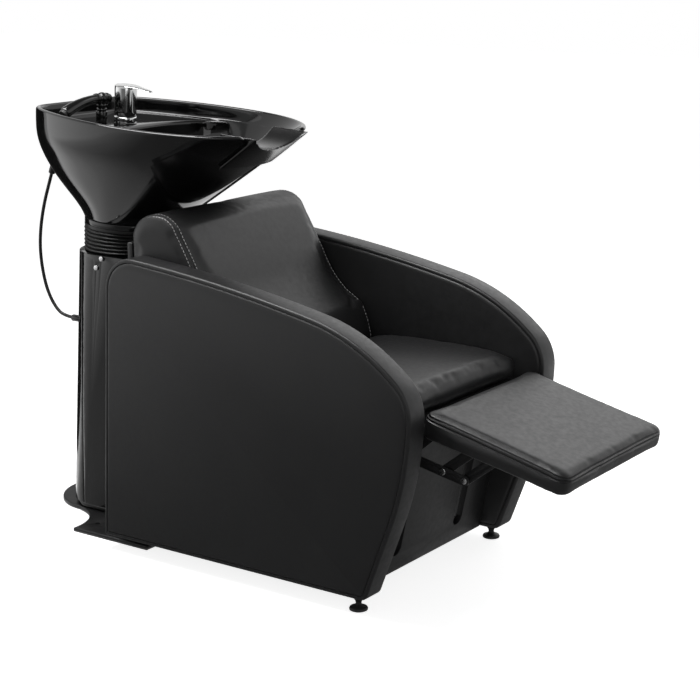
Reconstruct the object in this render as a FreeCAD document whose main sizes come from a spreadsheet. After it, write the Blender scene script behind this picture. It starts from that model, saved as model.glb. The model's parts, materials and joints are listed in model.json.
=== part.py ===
"""Shampoo chair: upholstered salon seat with a swing-up legrest, joined to a column with a tilting basin.

The frame is millimetres, +Z up. The sitter faces -Y. The origin lies on the floor, midway between the
two anchor holes of the base plate. The basin and everything on it is drawn level and then turned by
basin_lean about the tilt pin. The legrest is drawn level and turned by legrest_slope about its hinge.
"""
import FreeCAD, Part
import math
import os
import re
import Sketcher

Vector = FreeCAD.Vector
Placement = FreeCAD.Placement
Rotation = FreeCAD.Rotation

SIZES = {
    # armrests
    "arm_outer": 300, "arm_thickness": 58, "arm_skin": 12, "arm_edge": 5, "arm_bottom": 33,
    "arm_rear_y": -136, "arm_rear_z": 612, "arm_rear_slope": 2.6, "arm_rear_round": 75.6,
    "arm_top_slope": 4.5, "arm_top_round": 3770, "arm_bend_slope": 11.9, "arm_bend_round": 450,
    "arm_nose_slope": 42, "arm_nose_round": 104, "arm_front_slope": 92, "arm_shin_round": 722,
    "arm_shin_slope": 110.5, "arm_toe_round": 20, "arm_frame_width": 60, "arm_frame_drop": 140,
    "fit_gap": 0.3,
    # levelling feet under the arm fronts
    "foot_x": "=arm_outer - 28", "foot_y": -800, "foot_disc_radius": 21, "foot_disc_height": 8,
    "foot_stem_radius": 5, "foot_stem_height": 55, "foot_insert_radius": 8, "foot_insert_height": 24,
    "thread_gap": 0.1,
    # seat, back and frame rails
    "seat_board_z": 390, "seat_board_thickness": 12, "seat_front_y": -893, "seat_rear_y": -506,
    "seat_board_rear_y": -212, "seat_height": 52, "seat_crown": 12,
    "cushion_half": "=arm_outer - arm_thickness - 5", "cushion_draw": 12, "cushion_shoulder": 30,
    "back_bottom_y": -497, "back_lumbar_y": -466, "back_lumbar_z": 532, "back_waist_y": -365,
    "back_waist_z": 629, "back_shoulder_y": -294, "back_shoulder_z": 750, "back_top_y": -218,
    "back_top_z": 784, "back_rear_y": -156, "back_rear_z": 722, "back_lumbar_round": 260,
    "back_waist_round": 420, "back_shoulder_round": 230, "back_top_round": 90, "back_nape_round": 80,
    "back_board_thickness": 14, "back_board_top": 705, "rear_panel_thickness": 12, "rear_panel_top": 600,
    "rail_width": 40, "rail_height": 38, "rail_wall": 2.5, "front_rail_y": -800, "rear_rail_y": -260,
    "bottom_rail_y": -195, "bottom_rail_height": 26,
    # front panel with the two slots for the legrest arms
    "panel_foot_y": -785, "panel_lean": 12, "panel_height": 350, "panel_thickness": 15, "slot_x": 125,
    "slot_width": 36, "slot_bottom": 40, "slot_top": 342,
    # legrest and its linkage
    "legrest_slope": 11.7, "hinge_y": -898, "hinge_z": 369, "crank_y": -815, "crank_z": 304,
    "front_reach": 152, "rear_reach": 99, "bar_width": 22, "bar_thickness": 4, "bar_gap": 1,
    "plate_x": 128, "rivet_radius": 4, "rivet_head_radius": 7, "rivet_head_height": 2.5,
    "running_gap": 0.05, "open_pivot_gap": 0.5, "shaft_radius": 8, "shaft_half": 138,
    "plate_rear_y": -755, "plate_rear_top": 330, "plate_rear_bottom": 262, "plate_hinge_round": 11,
    "plate_shaft_round": 16, "beam_z": 268, "beam_depth": 36, "beam_height": 70, "legrest_rear": 6.5,
    "legrest_length": 345, "legrest_half": "=arm_outer - 78", "legrest_board_z": 12.4,
    "legrest_board_thickness": 10, "legrest_board_inset": 15, "legrest_cushion_height": 30,
    "legrest_crown": 5, "bracket_flange": 26, "bracket_tail": 190,
    # base plate, foot ring, mast and column covers
    "plate_thickness": 10, "plate_half": "=arm_outer - 42", "plate_front_y": -200, "plate_corner_y": 28,
    "waist_half": 137, "waist_y": 117, "waist_round": 118, "lobe_radius": 134, "lobe_y": 125,
    "anchor_x": "=plate_half - 53", "anchor_hole_radius": 6, "spacer_x": 150, "spacer_width": 50,
    "column_y": 45, "column_front_y": -88, "column_base_half": 142, "column_base_rear_y": 183,
    "column_top_half": 131, "column_top_rear_y": 166, "column_front_round": 40, "column_base_round": 90,
    "column_top_round": 118, "column_base_z": 24, "column_top_z": 640, "column_wall": 3,
    "column_seam_y": 104, "column_seam_gap": 3, "ring_inset": 5, "ring_wall": 12, "cap_depth": 40,
    "cap_wall": 9, "cap_plate": 7, "cap_hole_radius": 92, "cap_hole_y": 37, "screw_radius": 2.5,
    "screw_head_radius": 6, "screw_head_height": 3.5, "screw_length": 11, "screw_drill": 40,
    "screw_low_z": 611, "screw_high_z": 634, "screw_low_y": 45, "screw_high_y": 28, "mast_width": 70,
    "mast_wall": 4, "mast_top_z": "=tilt_z - 55", "mast_flange_width": 150, "mast_flange_thickness": 8,
    # tilt joint and bellows
    "tilt_z": 655, "basin_lean": 3.7, "pin_radius": 8, "yoke_width": 74, "yoke_plate": 8,
    "yoke_ear_x": 30, "ear_thickness": 7, "ear_radius": 19, "carrier_thickness": 8, "carrier_half": 48,
    "carrier_front": 46, "carrier_rear": 80, "carrier_eye_radius": 26, "bellows_radius": 118,
    "bellows_groove": 5, "bellows_wall": 3, "bellows_ribs": 6, "bellows_bottom_z": 640, "bellows_band": 8,
    "collar_height": 14, "collar_radius": 117, "collar_wall": 9,
    # basin
    "rim_z": 971, "neck_z": 716, "neck_radius": 118, "rim_front": 442, "rim_rear": 190.5, "rim_half": 241,
    "rim_middle": 140, "flank_knee": 0.74, "knee_softness": 0.02, "front_rise": 0.96, "corner_power": 12,
    "nose_power": 2.3, "rear_taper": 0.34, "taper_power": 1.9, "basin_wall": 14, "lip_extra": 4,
    "deck_z": 935, "basin_floor_z": 803, "basin_floor_front": 150, "basin_floor_rear": 34,
    "basin_floor_half": 62, "basin_side_power": 2.6, "basin_front_power": 0.8, "basin_widest": 0.4,
    "basin_deck_rear": 8, "basin_edge_power": 3, "notch_round": 157, "notch_depth": 45,
    "notch_reach": 320, "drain_setback": 70, "drain_radius": 20, "drain_seat_radius": 30,
    "drain_seat_depth": 5, "strainer_thickness": 3, "strainer_hole_radius": 3,
    "strainer_skirt_radius": 16.2, "strainer_skirt": 14, "tail_radius": 19.8, "tail_wall": 2.5,
    "tail_bottom_z": 690, "service_radius": 42, "service_top_z": 923, "neck_pad_half": 96,
    "neck_pad_thickness": 13, "neck_pad_drop_z": 884, "neck_pad_top": 7, "neck_pad_inside": 330,
    # mixer tap
    "tap_back": 34, "tap_flange_radius": 27, "tap_flange_height": 16, "tap_radius": 19.5,
    "tap_height": 50, "tap_ball_radius": 19, "tap_ball_z": 54, "tap_shank_radius": 15,
    "tap_shank_length": 68, "tap_nut_radius": 24, "tap_nut_height": 10, "lever_cap_radius": 23.5,
    "lever_cap_top": 26, "lever_skirt_radius": 22, "lever_skirt": 6, "lever_gap": 0.5, "lever_reach": 62,
    "lever_tail": 19, "lever_width": 21, "lever_thickness": 3, "lever_round": 130,
    "lever_pin_radius": 2.5, "lever_lug_radius": 6, "lever_lug": 4,
    # hand shower
    "sleeve_x": -46, "sleeve_back": 67, "sleeve_radius": 13, "sleeve_height": 28, "stem_radius": 8.4,
    "stem_drop": 24, "knuckle_radius": 15, "knuckle_z": 58, "wand_slope": 5.3, "wand_length": 128,
    "wand_root_radius": 11, "wand_tip_radius": 14, "spray_thickness": 6, "spray_radius": 12.5,
    # hoses
    "hose_radius": 4, "gland_radius": 8, "gland_length": 30, "supply_radius": 5, "supply_x": 8,
    "supply_length": 150, "hose_x": -95, "hose_entry_z": 470, "hose_end_y": 148, "waste_radius": 16,
    "waste_wall": 2.5, "waste_y": -28, "waste_floor_z": 20, "waste_top_z": "=tail_bottom_z - 90",
}

doc = FreeCAD.newDocument("ShampooChair")
sheet = doc.addObject("Spreadsheet::Sheet", "Sizes")
for row, (alias, number) in enumerate(SIZES.items(), start=1):
    sheet.set(f"A{row}", alias)
    sheet.set(f"B{row}", str(number))
    sheet.setAlias(f"B{row}", alias)
doc.recompute()

WORD = re.compile(r"[a-z][a-z_]+")
nodes = []


def bind(formula):
    """Write a formula of size names as an expression on the sheet."""
    return WORD.sub(lambda word: ("Sizes." if word.group() in SIZES else "") + word.group(), str(formula))


def val(formula):
    return float(sheet.evalExpression(bind(formula)))


def drive(thing, **formulas):
    for name, formula in formulas.items():
        thing.setExpression(name, bind(formula))
    return thing


def place(thing, x="0", y="0", z="0"):
    for axis, formula in zip("xyz", (x, y, z)):
        thing.setExpression("Placement.Base." + axis, bind(formula))
    return thing


def node(thing, label):
    thing.Label = label
    nodes.append(thing)
    return thing


TURN = {"X": Rotation(Vector(0, 1, 0), 90), "Y": Rotation(Vector(1, 0, 0), -90), "Z": Rotation()}


def block(name, x, y, z, wide, deep, tall):
    return place(drive(doc.addObject("Part::Box", name), Length=wide, Width=deep, Height=tall), x, y, z)


def rod(name, radius, length, x, y, z, along="Z"):
    piece = doc.addObject("Part::Cylinder", name)
    piece.Placement = Placement(Vector(), TURN[along])
    return place(drive(piece, Radius=radius, Height=length), x, y, z)


def fuse(name, pieces):
    joined = doc.addObject("Part::MultiFuse", name)
    joined.Shapes = pieces
    return joined


def cut(name, base, tools):
    tool = tools[0] if len(tools) == 1 else fuse(name + "_tools", tools)
    result = doc.addObject("Part::Cut", name)
    result.Base = base
    result.Tool = tool
    return result


def common(name, first, second):
    result = doc.addObject("Part::Common", name)
    result.Base = first
    result.Tool = second
    return result


def group(name, pieces):
    bundle = doc.addObject("Part::Compound", name)
    bundle.Links = pieces
    return bundle


def new_body(name):
    return doc.addObject("PartDesign::Body", name)


def sketch(body, plane, corners, offset="0"):
    """Draw a closed outline anticlockwise. A corner is (u, v), or (u, v, radius, turn) before an arc."""
    drawing = body.newObject("Sketcher::SketchObject", body.Name + "_outline")
    support = [feature for feature in body.Origin.OriginFeatures if feature.Role == plane][0]
    drawing.AttachmentSupport = [(support, "")]
    drawing.MapMode = "FlatFace"
    drawing.setExpression("AttachmentOffset.Base.z", bind(offset))
    points = [Vector(val(corner[0]), val(corner[1]), 0) for corner in corners]
    ends = []
    for index, corner in enumerate(corners):
        start, stop = points[index], points[(index + 1) % len(points)]
        if len(corner) == 2:
            drawing.addGeometry(Part.LineSegment(start, stop))
            ends.append((1, 2))
            continue
        radius, turn = val(corner[2]), corner[3]
        first, last = (start, stop) if turn > 0 else (stop, start)
        chord = last - first
        rise = math.sqrt(radius ** 2 - chord.Length ** 2 / 4)
        centre = (first + last) / 2 + Vector(-chord.y, chord.x, 0).normalize() * rise
        begin = math.atan2(first.y - centre.y, first.x - centre.x)
        end = math.atan2(last.y - centre.y, last.x - centre.x)
        circle = Part.Circle(centre, Vector(0, 0, 1), radius)
        drawing.addGeometry(Part.ArcOfCircle(circle, begin, end if end > begin else end + 2 * math.pi))
        ends.append((1, 2) if turn > 0 else (2, 1))
    for index, corner in enumerate(corners):
        before = (index - 1) % len(corners)
        drawing.addConstraint(Sketcher.Constraint("Coincident", before, ends[before][1], index, ends[index][0]))
        for kind, formula in (("DistanceX", corner[0]), ("DistanceY", corner[1])):
            number = drawing.addConstraint(Sketcher.Constraint(kind, index, ends[index][0], val(formula)))
            drawing.setExpression(f"Constraints[{number}]", bind(formula))
        if len(corner) > 2:
            number = drawing.addConstraint(Sketcher.Constraint("Radius", index, val(corner[2])))
            drawing.setExpression(f"Constraints[{number}]", bind(corner[2]))
    return drawing


def pad(body, drawing, length):
    feature = body.newObject("PartDesign::Pad", body.Name + "_pad")
    feature.Profile = drawing
    drive(feature, Length=length)
    return body


def slab(name, plane, corners, offset, length):
    body = new_body(name)
    return pad(body, sketch(body, plane, corners, offset), length)


def spun(name, corners, y="0", x="0"):
    """Turn an outline, given as radius and height, about the upright axis at x, y."""
    body = new_body(name)
    drawing = sketch(body, "XZ_Plane", corners)
    feature = body.newObject("PartDesign::Revolution", name + "_turned")
    feature.Profile = drawing
    feature.ReferenceAxis = (drawing, ["V_Axis"])
    feature.Angle = 360
    return place(body, x, y)


def lofted(name, plane, sections, ruled=False):
    """Loft a body through (offset, corners) sections with equal counts of edges."""
    body = new_body(name)
    drawings = [sketch(body, plane, corners, offset) for offset, corners in sections]
    feature = body.newObject("PartDesign::AdditiveLoft", name + "_loft")
    feature.Profile = drawings[0]
    feature.Sections = drawings[1:]
    feature.Ruled = ruled
    return body


def rounded(body, radius, wanted):
    """Round the edges of a body that the test picks."""
    doc.recompute()
    tip = body.Tip
    names = [f"Edge{index}" for index, edge in enumerate(tip.Shape.Edges, start=1) if wanted(edge)]
    feature = body.newObject("PartDesign::Fillet", body.Name + "_round")
    feature.Base = (tip, names)
    drive(feature, Radius=radius)
    return body


def rounded_box(half, front, rear, front_round, rear_round):
    """Plan outline with rounded corners, symmetric about x = 0."""
    return [
        (f"-({half}) + {front_round}", front), (f"{half} - {front_round}", front, front_round, 1),
        (half, f"{front} + {front_round}"), (half, f"{rear} - {rear_round}", rear_round, 1),
        (f"{half} - {rear_round}", rear), (f"-({half}) + {rear_round}", rear, rear_round, 1),
        (f"-({half})", f"{rear} - {rear_round}"), (f"-({half})", f"{front} + {front_round}", front_round, 1),
    ]


SIDES = (("right", -1), ("left", 1))


def from_inner(side, inner, thickness):
    """Lowest x of a layer that starts at distance inner from the centre plane on a side."""
    return inner if side > 0 else f"-({inner}) - ({thickness})"


# Armrests: a core between an outer and an inner upholstered skin
def arc_end(start, radius, before, after):
    """End of a tangent arc that starts under one slope and ends under another."""
    return (f"({start[0]}) + {radius} * (sin({before}) - sin({after}))",
            f"({start[1]}) + {radius} * (cos({after}) - cos({before}))")


ARM_REAR = ("arm_rear_y", "arm_rear_z")
ARM_CREST = arc_end(ARM_REAR, "arm_rear_round", "(arm_rear_slope - 90)", "arm_top_slope")
ARM_BEND = arc_end(ARM_CREST, "arm_top_round", "arm_top_slope", "arm_bend_slope")
ARM_NOSE = arc_end(ARM_BEND, "arm_bend_round", "arm_bend_slope", "arm_nose_slope")
ARM_FRONT = arc_end(ARM_NOSE, "arm_nose_round", "arm_nose_slope", "arm_front_slope")
ARM_SHIN = arc_end(ARM_FRONT, "arm_shin_round", "arm_front_slope", "arm_shin_slope")
ARM_HEEL_Y = "arm_rear_y + (arm_rear_z - arm_bottom) * tan(arm_rear_slope)"
ARM_TOE_Y = f"{ARM_SHIN[0]} + ({ARM_SHIN[1]} - arm_bottom) * tan(arm_shin_slope - 90)"
TOE_TRIM = "arm_toe_round / tan(arm_shin_slope / 2)"
ARM_OUTLINE = [
    (ARM_HEEL_Y, "arm_bottom"), ARM_REAR + ("arm_rear_round", 1), ARM_CREST + ("arm_top_round", 1),
    ARM_BEND + ("arm_bend_round", 1), ARM_NOSE + ("arm_nose_round", 1), ARM_FRONT + ("arm_shin_round", 1),
    ARM_SHIN, (f"{ARM_TOE_Y} - {TOE_TRIM} * sin(arm_shin_slope - 90)",
               f"arm_bottom + {TOE_TRIM} * cos(arm_shin_slope - 90)", "arm_toe_round", 1),
    (f"{ARM_TOE_Y} + {TOE_TRIM}", "arm_bottom"),
]
ARM_HOLLOW = [
    (f"{ARM_HEEL_Y} - 1.5 * arm_frame_width", "arm_bottom + arm_frame_width"),
    ("arm_rear_y - arm_frame_width", "arm_rear_z - arm_frame_width / 2"),
    (f"{ARM_FRONT[0]} + 2 * arm_frame_width", "arm_rear_z - arm_frame_drop"),
    (f"{ARM_TOE_Y} + 1.5 * arm_frame_width", "arm_bottom + arm_frame_width"),
]
ARM_INNER = "arm_outer - arm_thickness"
CORE_THICKNESS = "arm_thickness - 2 * arm_skin"


def arm(hand, side):
    layers = (
        ("inner_pad", ARM_INNER, "arm_skin"), ("frame", f"{ARM_INNER} + arm_skin", CORE_THICKNESS),
        ("outer_pad", "arm_outer - arm_skin", "arm_skin"),
    )
    for word, inner, thickness in layers:
        start = from_inner(side, inner, thickness)
        name = f"{hand}_arm_{word}"
        if word == "frame":
            core = slab(name + "_core", "YZ_Plane", ARM_OUTLINE, start, thickness)
            socket = rod(name + "_socket", "foot_insert_radius + fit_gap", "foot_insert_height + 2 * fit_gap",
                         f"{side} * foot_x", "foot_y", "arm_bottom - fit_gap")
            hollow = slab(name + "_hollow", "YZ_Plane", ARM_HOLLOW, start, thickness)
            node(cut(name, core, [socket, hollow]), name)
            continue
        skin = slab(name, "YZ_Plane", ARM_OUTLINE, start, thickness)
        face_x = val(start) if (word == "outer_pad") == (side < 0) else val(start) + val(thickness)
        rounded(skin, "arm_edge", lambda edge, at=face_x: edge.BoundBox.XLength < 0.01
                and abs(edge.BoundBox.Center.x - at) < 0.01)
        node(skin, name)


for hand, side in SIDES:
    arm(hand, side)

# Levelling feet and the threaded inserts that hold them
feet, inserts = [], []
for hand, side in SIDES:
    glide = spun(f"{hand}_glide", [
        ("0", "0"), ("foot_disc_radius - 2", "0"), ("foot_disc_radius", "2"),
        ("foot_disc_radius", "foot_disc_height - 2"), ("foot_stem_radius + 4", "foot_disc_height + 3"),
        ("foot_stem_radius", "foot_disc_height + 3"), ("foot_stem_radius", "foot_stem_height"),
        ("0", "foot_stem_height"),
    ], "foot_y", f"{side} * foot_x")
    feet.append(glide)
    sleeve = rod(f"{hand}_insert_sleeve", "foot_insert_radius", "foot_insert_height",
                 f"{side} * foot_x", "foot_y", "arm_bottom")
    thread = rod(f"{hand}_insert_thread", "foot_stem_radius + thread_gap", "foot_insert_height + 2",
                 f"{side} * foot_x", "foot_y", "arm_bottom - 1")
    inserts.append(cut(f"{hand}_insert", sleeve, [thread]))
node(group("levelling_feet", feet), "levelling_feet")
node(group("foot_inserts", inserts), "foot_inserts")


# Seat, backrest and the rails between the armrests
def tube(name, y, z, tall, deep="rail_width"):
    """Hollow cross rail that fills the space between the inner pads."""
    half = f"({ARM_INNER})"
    outer = block(name + "_outer", f"-{half}", y, z, f"2 * {half}", deep, tall)
    hollow = block(name + "_hollow", f"-{half} - 1", f"{y} + rail_wall", f"{z} + rail_wall",
                   f"2 * {half} + 2", f"{deep} - 2 * rail_wall", f"{tall} - 2 * rail_wall")
    return node(cut(name, outer, [hollow]), name)


tube("front_rail", "front_rail_y", "seat_board_z - rail_height", "rail_height")
tube("rear_rail", "rear_rail_y", "seat_board_z - rail_height", "rail_height")
tube("bottom_rail", "bottom_rail_y", "arm_bottom", "bottom_rail_height")
tube("mechanism_beam", "plate_rear_y", "beam_z", "beam_height", "beam_depth")
node(block("seat_board", "-cushion_half", "seat_front_y + 8", "seat_board_z", "2 * cushion_half",
           "seat_board_rear_y - seat_front_y - 8", "seat_board_thickness"), "seat_board")

SEAT_LOW = "seat_board_z + seat_board_thickness + fit_gap"


def seat_section(draw, crown):
    """Seat profile in y and z: crowned top, bulged front and rear, all drawn in by a margin."""
    low, high = SEAT_LOW, f"{SEAT_LOW} + seat_height - {draw} + {crown} / 2"
    front, rear = f"seat_front_y + 8 + {draw}", f"seat_rear_y - 6 - {draw}"
    return [
        (front, low), (rear, low, "seat_height", 1), (rear, high, "2600 - 900 * " + crown + " / seat_crown", 1),
        (front, high, "seat_height * 0.8", 1),
    ]


def crowned(name, section, half, draw, shoulder, crown):
    """Cushion lofted across x: drawn in at both ends and fullest in the middle."""
    right = [(f"-({half})", draw, "0"), (f"-({half}) + {shoulder} * 0.3", f"{draw} * 0.3", f"{crown} * 0.2"),
             (f"-({half}) + {shoulder}", "0", f"{crown} * 0.4"), (f"-({half}) * 0.45", "0", f"{crown} * 0.85")]
    left = [(f"-({x})", inset, rise) for x, inset, rise in reversed(right)]
    stations = right + [("0", "0", crown)] + left
    return lofted(name, "YZ_Plane", [(x, section(inset, rise)) for x, inset, rise in stations], ruled=True)


node(crowned("seat_cushion", seat_section, "cushion_half", "cushion_draw", "cushion_shoulder", "seat_crown"),
     "seat_cushion")


def back_section(draw, crown):
    """Backrest profile in y and z: lumbar swell, hollow waist, full shoulder and round top."""
    low = SEAT_LOW
    return [
        (f"back_bottom_y + {draw}", low), (f"back_rear_y - {draw} / 2", low),
        (f"back_rear_y - {draw} / 2", f"back_rear_z - {draw}", "back_nape_round", 1),
        ("back_top_y", f"back_top_z - {draw}", "back_top_round", 1),
        (f"back_shoulder_y + {draw} - {crown}", f"back_shoulder_z - {draw} / 2", "back_shoulder_round", 1),
        (f"back_waist_y + {draw} - {crown}", "back_waist_z", "back_waist_round", -1),
        (f"back_lumbar_y + {draw} - {crown}", "back_lumbar_z", "back_lumbar_round", 1),
    ]


node(crowned("backrest_cushion", back_section, "cushion_half", "cushion_draw", "cushion_shoulder",
             "cushion_draw / 2"), "backrest_cushion")
node(block("back_board", "-cushion_half + 8", "back_rear_y + fit_gap", "seat_board_z", "2 * cushion_half - 16",
           "back_board_thickness", "back_board_top - seat_board_z"), "back_board")
node(block("rear_panel", f"-({ARM_INNER})", "back_rear_y + fit_gap + back_board_thickness",
           "arm_bottom + bottom_rail_height", f"2 * ({ARM_INNER})", "rear_panel_thickness",
           "rear_panel_top - arm_bottom - bottom_rail_height"), "rear_panel")


def leaning(thing, angle, y, z):
    """Turn a level piece about the x axis, front down, and carry it to its pivot."""
    thing.Placement = Placement(Vector(), Rotation(Vector(1, 0, 0), val(angle)))
    thing.setExpression("Placement.Rotation.Angle", bind(angle))
    return place(thing, "0", y, z)


# Front panel with two slots, leaning forward at the top
panel_board = block("front_panel_board", f"-({ARM_INNER})", "0", "0", f"2 * ({ARM_INNER})",
                    "panel_thickness", "panel_height")
panel_slots = []
for hand, side in SIDES:
    panel_slots.append(block(f"{hand}_slot", f"{side} * slot_x - slot_width / 2", "-1",
                             "slot_bottom + slot_width / 2", "slot_width", "panel_thickness + 2",
                             "slot_top - slot_bottom - slot_width / 2"))
    panel_slots.append(rod(f"{hand}_slot_end", "slot_width / 2", "panel_thickness + 2", f"{side} * slot_x", "-1",
                           "slot_bottom + slot_width / 2", "Y"))
front_panel = cut("front_panel", panel_board, panel_slots)
node(leaning(front_panel, "panel_lean", "panel_foot_y", "arm_bottom"), "front_panel")

# Legrest linkage, each side in three layers: side plate, arms, couplers
ARM_LAYER = "plate_x - bar_gap - bar_thickness"
COUPLER_LAYER = "plate_x - 2 * bar_gap - 2 * bar_thickness"
LINK_Y, LINK_Z = "(crank_y - hinge_y)", "(crank_z - hinge_z)"


def bar(name, side, layer, length, holes, ends="bar_width / 2"):
    """Flat bar along -y from its first pivot, with round ends and a hole at each (distance, radius)."""
    body = slab(name + "_blank", "YZ_Plane", [
        (f"-({length}) - {ends}", "-bar_width / 2"), (ends, "-bar_width / 2"), (ends, "bar_width / 2"),
        (f"-({length}) - {ends}", "bar_width / 2"),
    ], from_inner(side, layer, "bar_thickness"), "bar_thickness")
    rounded(body, f"{ends} - 0.01", lambda edge: edge.BoundBox.XLength > val("bar_thickness") - 0.01)
    tools = [rod(f"{name}_hole", radius, "bar_thickness + 2", from_inner(side, f"{layer} - 1", "bar_thickness + 2"),
                 f"-({along})", "0", "X") for along, radius in holes]
    return cut(name, body, tools)


def rivet(name, side, inner, outer, y, z):
    """Pivot with a head at each end, along x between two distances from the centre plane."""
    length = f"{outer} - ({inner})"
    shank = rod(name + "_shank", "rivet_radius", length, from_inner(side, inner, length), y, z, "X")
    heads = [rod(name + "_head", "rivet_head_radius", "rivet_head_height",
                 from_inner(side, start, "rivet_head_height"), y, z, "X")
             for start in (f"{inner} - rivet_head_height", outer)]
    return fuse(name, [shank] + heads)


RUN = "rivet_radius + running_gap"
LOOSE = "rivet_radius + open_pivot_gap"
PLATE_OUT = "plate_x + bar_thickness"
side_plates, brackets, cranks = [], [], []
plate_rivets, bracket_rivets, crank_rivets, front_couplers, rear_couplers = [], [], [], [], []
for hand, side in SIDES:
    plate = slab(f"{hand}_plate_blank", "YZ_Plane", [
        ("hinge_y - plate_hinge_round", "hinge_z", "plate_hinge_round", 1),
        ("hinge_y - plate_hinge_round * cos(45)", "hinge_z - plate_hinge_round * sin(45)"),
        ("crank_y - plate_shaft_round * cos(45)", "crank_z - plate_shaft_round * sin(45)", "plate_shaft_round", 1),
        ("crank_y", "crank_z - plate_shaft_round"), ("plate_rear_y", "plate_rear_bottom"),
        ("plate_rear_y", "plate_rear_top"), ("hinge_y", "hinge_z + plate_hinge_round", "plate_hinge_round", 1),
    ], from_inner(side, "plate_x", "bar_thickness"), "bar_thickness")
    plate_holes = [
        rod(f"{hand}_plate_{word}", radius, "bar_thickness + 2",
            from_inner(side, "plate_x - 1", "bar_thickness + 2"), y, z, "X")
        for word, radius, y, z in (("hinge_hole", RUN, "hinge_y", "hinge_z"),
                                   ("shaft_hole", "shaft_radius + running_gap", "crank_y", "crank_z"))]
    side_plates.append(cut(f"{hand}_side_plate", plate, plate_holes))
    plate_rivets.append(rivet(f"{hand}_hinge_rivet", side, f"{ARM_LAYER} - bar_gap / 2", PLATE_OUT,
                              "hinge_y", "hinge_z"))
    crank = bar(f"{hand}_crank", side, ARM_LAYER, "front_reach",
                [("0", "shaft_radius + running_gap"), ("rear_reach", RUN), ("front_reach", RUN)])
    cranks.append(crank)
    web = bar(f"{hand}_bracket_web", side, ARM_LAYER, "front_reach",
              [("0", RUN), ("rear_reach", RUN), ("front_reach", RUN)])
    fin = block(f"{hand}_bracket_fin", from_inner(side, ARM_LAYER, "bar_thickness"), "-bracket_tail",
                "0", "bar_thickness", "bracket_tail - legrest_rear - 4", "legrest_board_z")
    flange = block(f"{hand}_bracket_flange", from_inner(side, ARM_LAYER, "bracket_flange"),
                   "-bracket_tail", "legrest_board_z - 3", "bracket_flange",
                   "bracket_tail - legrest_rear - 4", "3")
    fin_holes = [rod(f"{hand}_fin_hole", RUN, "bar_thickness + 2",
                     from_inner(side, f"{ARM_LAYER} - 1", "bar_thickness + 2"), f"-{reach}", "0", "X")
                 for reach in ("rear_reach", "front_reach")]
    bracket = cut(f"{hand}_bracket", fuse(f"{hand}_bracket_blank", [web, fin, flange]), fin_holes)
    brackets.append(bracket)
    for word, reach, couplers in (("front", "front_reach", front_couplers), ("rear", "rear_reach", rear_couplers)):
        bracket_rivets.append(rivet(f"{hand}_{word}_bracket_rivet", side, f"{COUPLER_LAYER} - bar_gap / 2",
                                    f"{ARM_LAYER} + bar_thickness", f"-{reach}", "0"))
        crank_rivets.append(rivet(f"{hand}_{word}_crank_rivet", side, f"{COUPLER_LAYER} - bar_gap / 2",
                                  f"{ARM_LAYER} + bar_thickness", f"-{reach}", "0"))
        length = f"sqrt({LINK_Y} * {LINK_Y} + {LINK_Z} * {LINK_Z})"
        coupler = bar(f"{hand}_{word}_coupler", side, COUPLER_LAYER, length, [("0", LOOSE), (length, RUN)])
        coupler.Placement = Placement(Vector(), Rotation(Vector(1, 0, 0), val(f"atan2({LINK_Z}; {LINK_Y})")))
        coupler.setExpression("Placement.Rotation.Angle", bind(f"atan2({LINK_Z}; {LINK_Y})"))
        place(coupler, "0", f"crank_y - {reach} * cos(legrest_slope)", f"crank_z - {reach} * sin(legrest_slope)")
        couplers.append(coupler)
node(group("side_plates", side_plates), "side_plates")
node(leaning(group("legrest_brackets", brackets), "legrest_slope", "hinge_y", "hinge_z"), "legrest_brackets")
node(leaning(group("crank_links", cranks), "legrest_slope", "crank_y", "crank_z"), "crank_links")
node(group("hinge_rivets", plate_rivets), "hinge_rivets")
node(leaning(group("bracket_rivets", bracket_rivets), "legrest_slope", "hinge_y", "hinge_z"), "bracket_rivets")
node(leaning(group("crank_rivets", crank_rivets), "legrest_slope", "crank_y", "crank_z"), "crank_rivets")
node(group("front_couplers", front_couplers), "front_couplers")
node(group("rear_couplers", rear_couplers), "rear_couplers")
node(rod("torque_shaft", "shaft_radius", "2 * shaft_half", "-shaft_half", "crank_y", "crank_z", "X"),
     "torque_shaft")

# Legrest board and cushion, drawn level from the hinge
board_blank = block("legrest_board_blank", "-legrest_half + legrest_board_inset",
                    "-legrest_rear - legrest_length + legrest_board_inset", "legrest_board_z",
                    "2 * (legrest_half - legrest_board_inset)", "legrest_length - 2 * legrest_board_inset",
                    "legrest_board_thickness")
node(leaning(group("legrest_board", [board_blank]), "legrest_slope", "hinge_y", "hinge_z"), "legrest_board")
LEGREST_LOW = "legrest_board_z + legrest_board_thickness + fit_gap"


def legrest_section(draw, crown):
    """Legrest profile in y and z with softly bulged ends and a low crown."""
    low, high = LEGREST_LOW, f"{LEGREST_LOW} + legrest_cushion_height - {draw} + {crown} / 2"
    front, rear = f"-legrest_rear - legrest_length + 5 + {draw}", f"-legrest_rear - 5 - {draw}"
    return [
        (front, low), (rear, low, "legrest_cushion_height", 1), (rear, high, "4200 - 900 * " + crown + " / 5", 1),
        (front, high, "legrest_cushion_height", 1),
    ]


legrest_cushion = crowned("legrest_cushion", legrest_section, "legrest_half", "cushion_draw / 2",
                          "cushion_shoulder * 0.7", "legrest_crown")
node(leaning(legrest_cushion, "legrest_slope", "hinge_y", "hinge_z"), "legrest_cushion")

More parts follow.
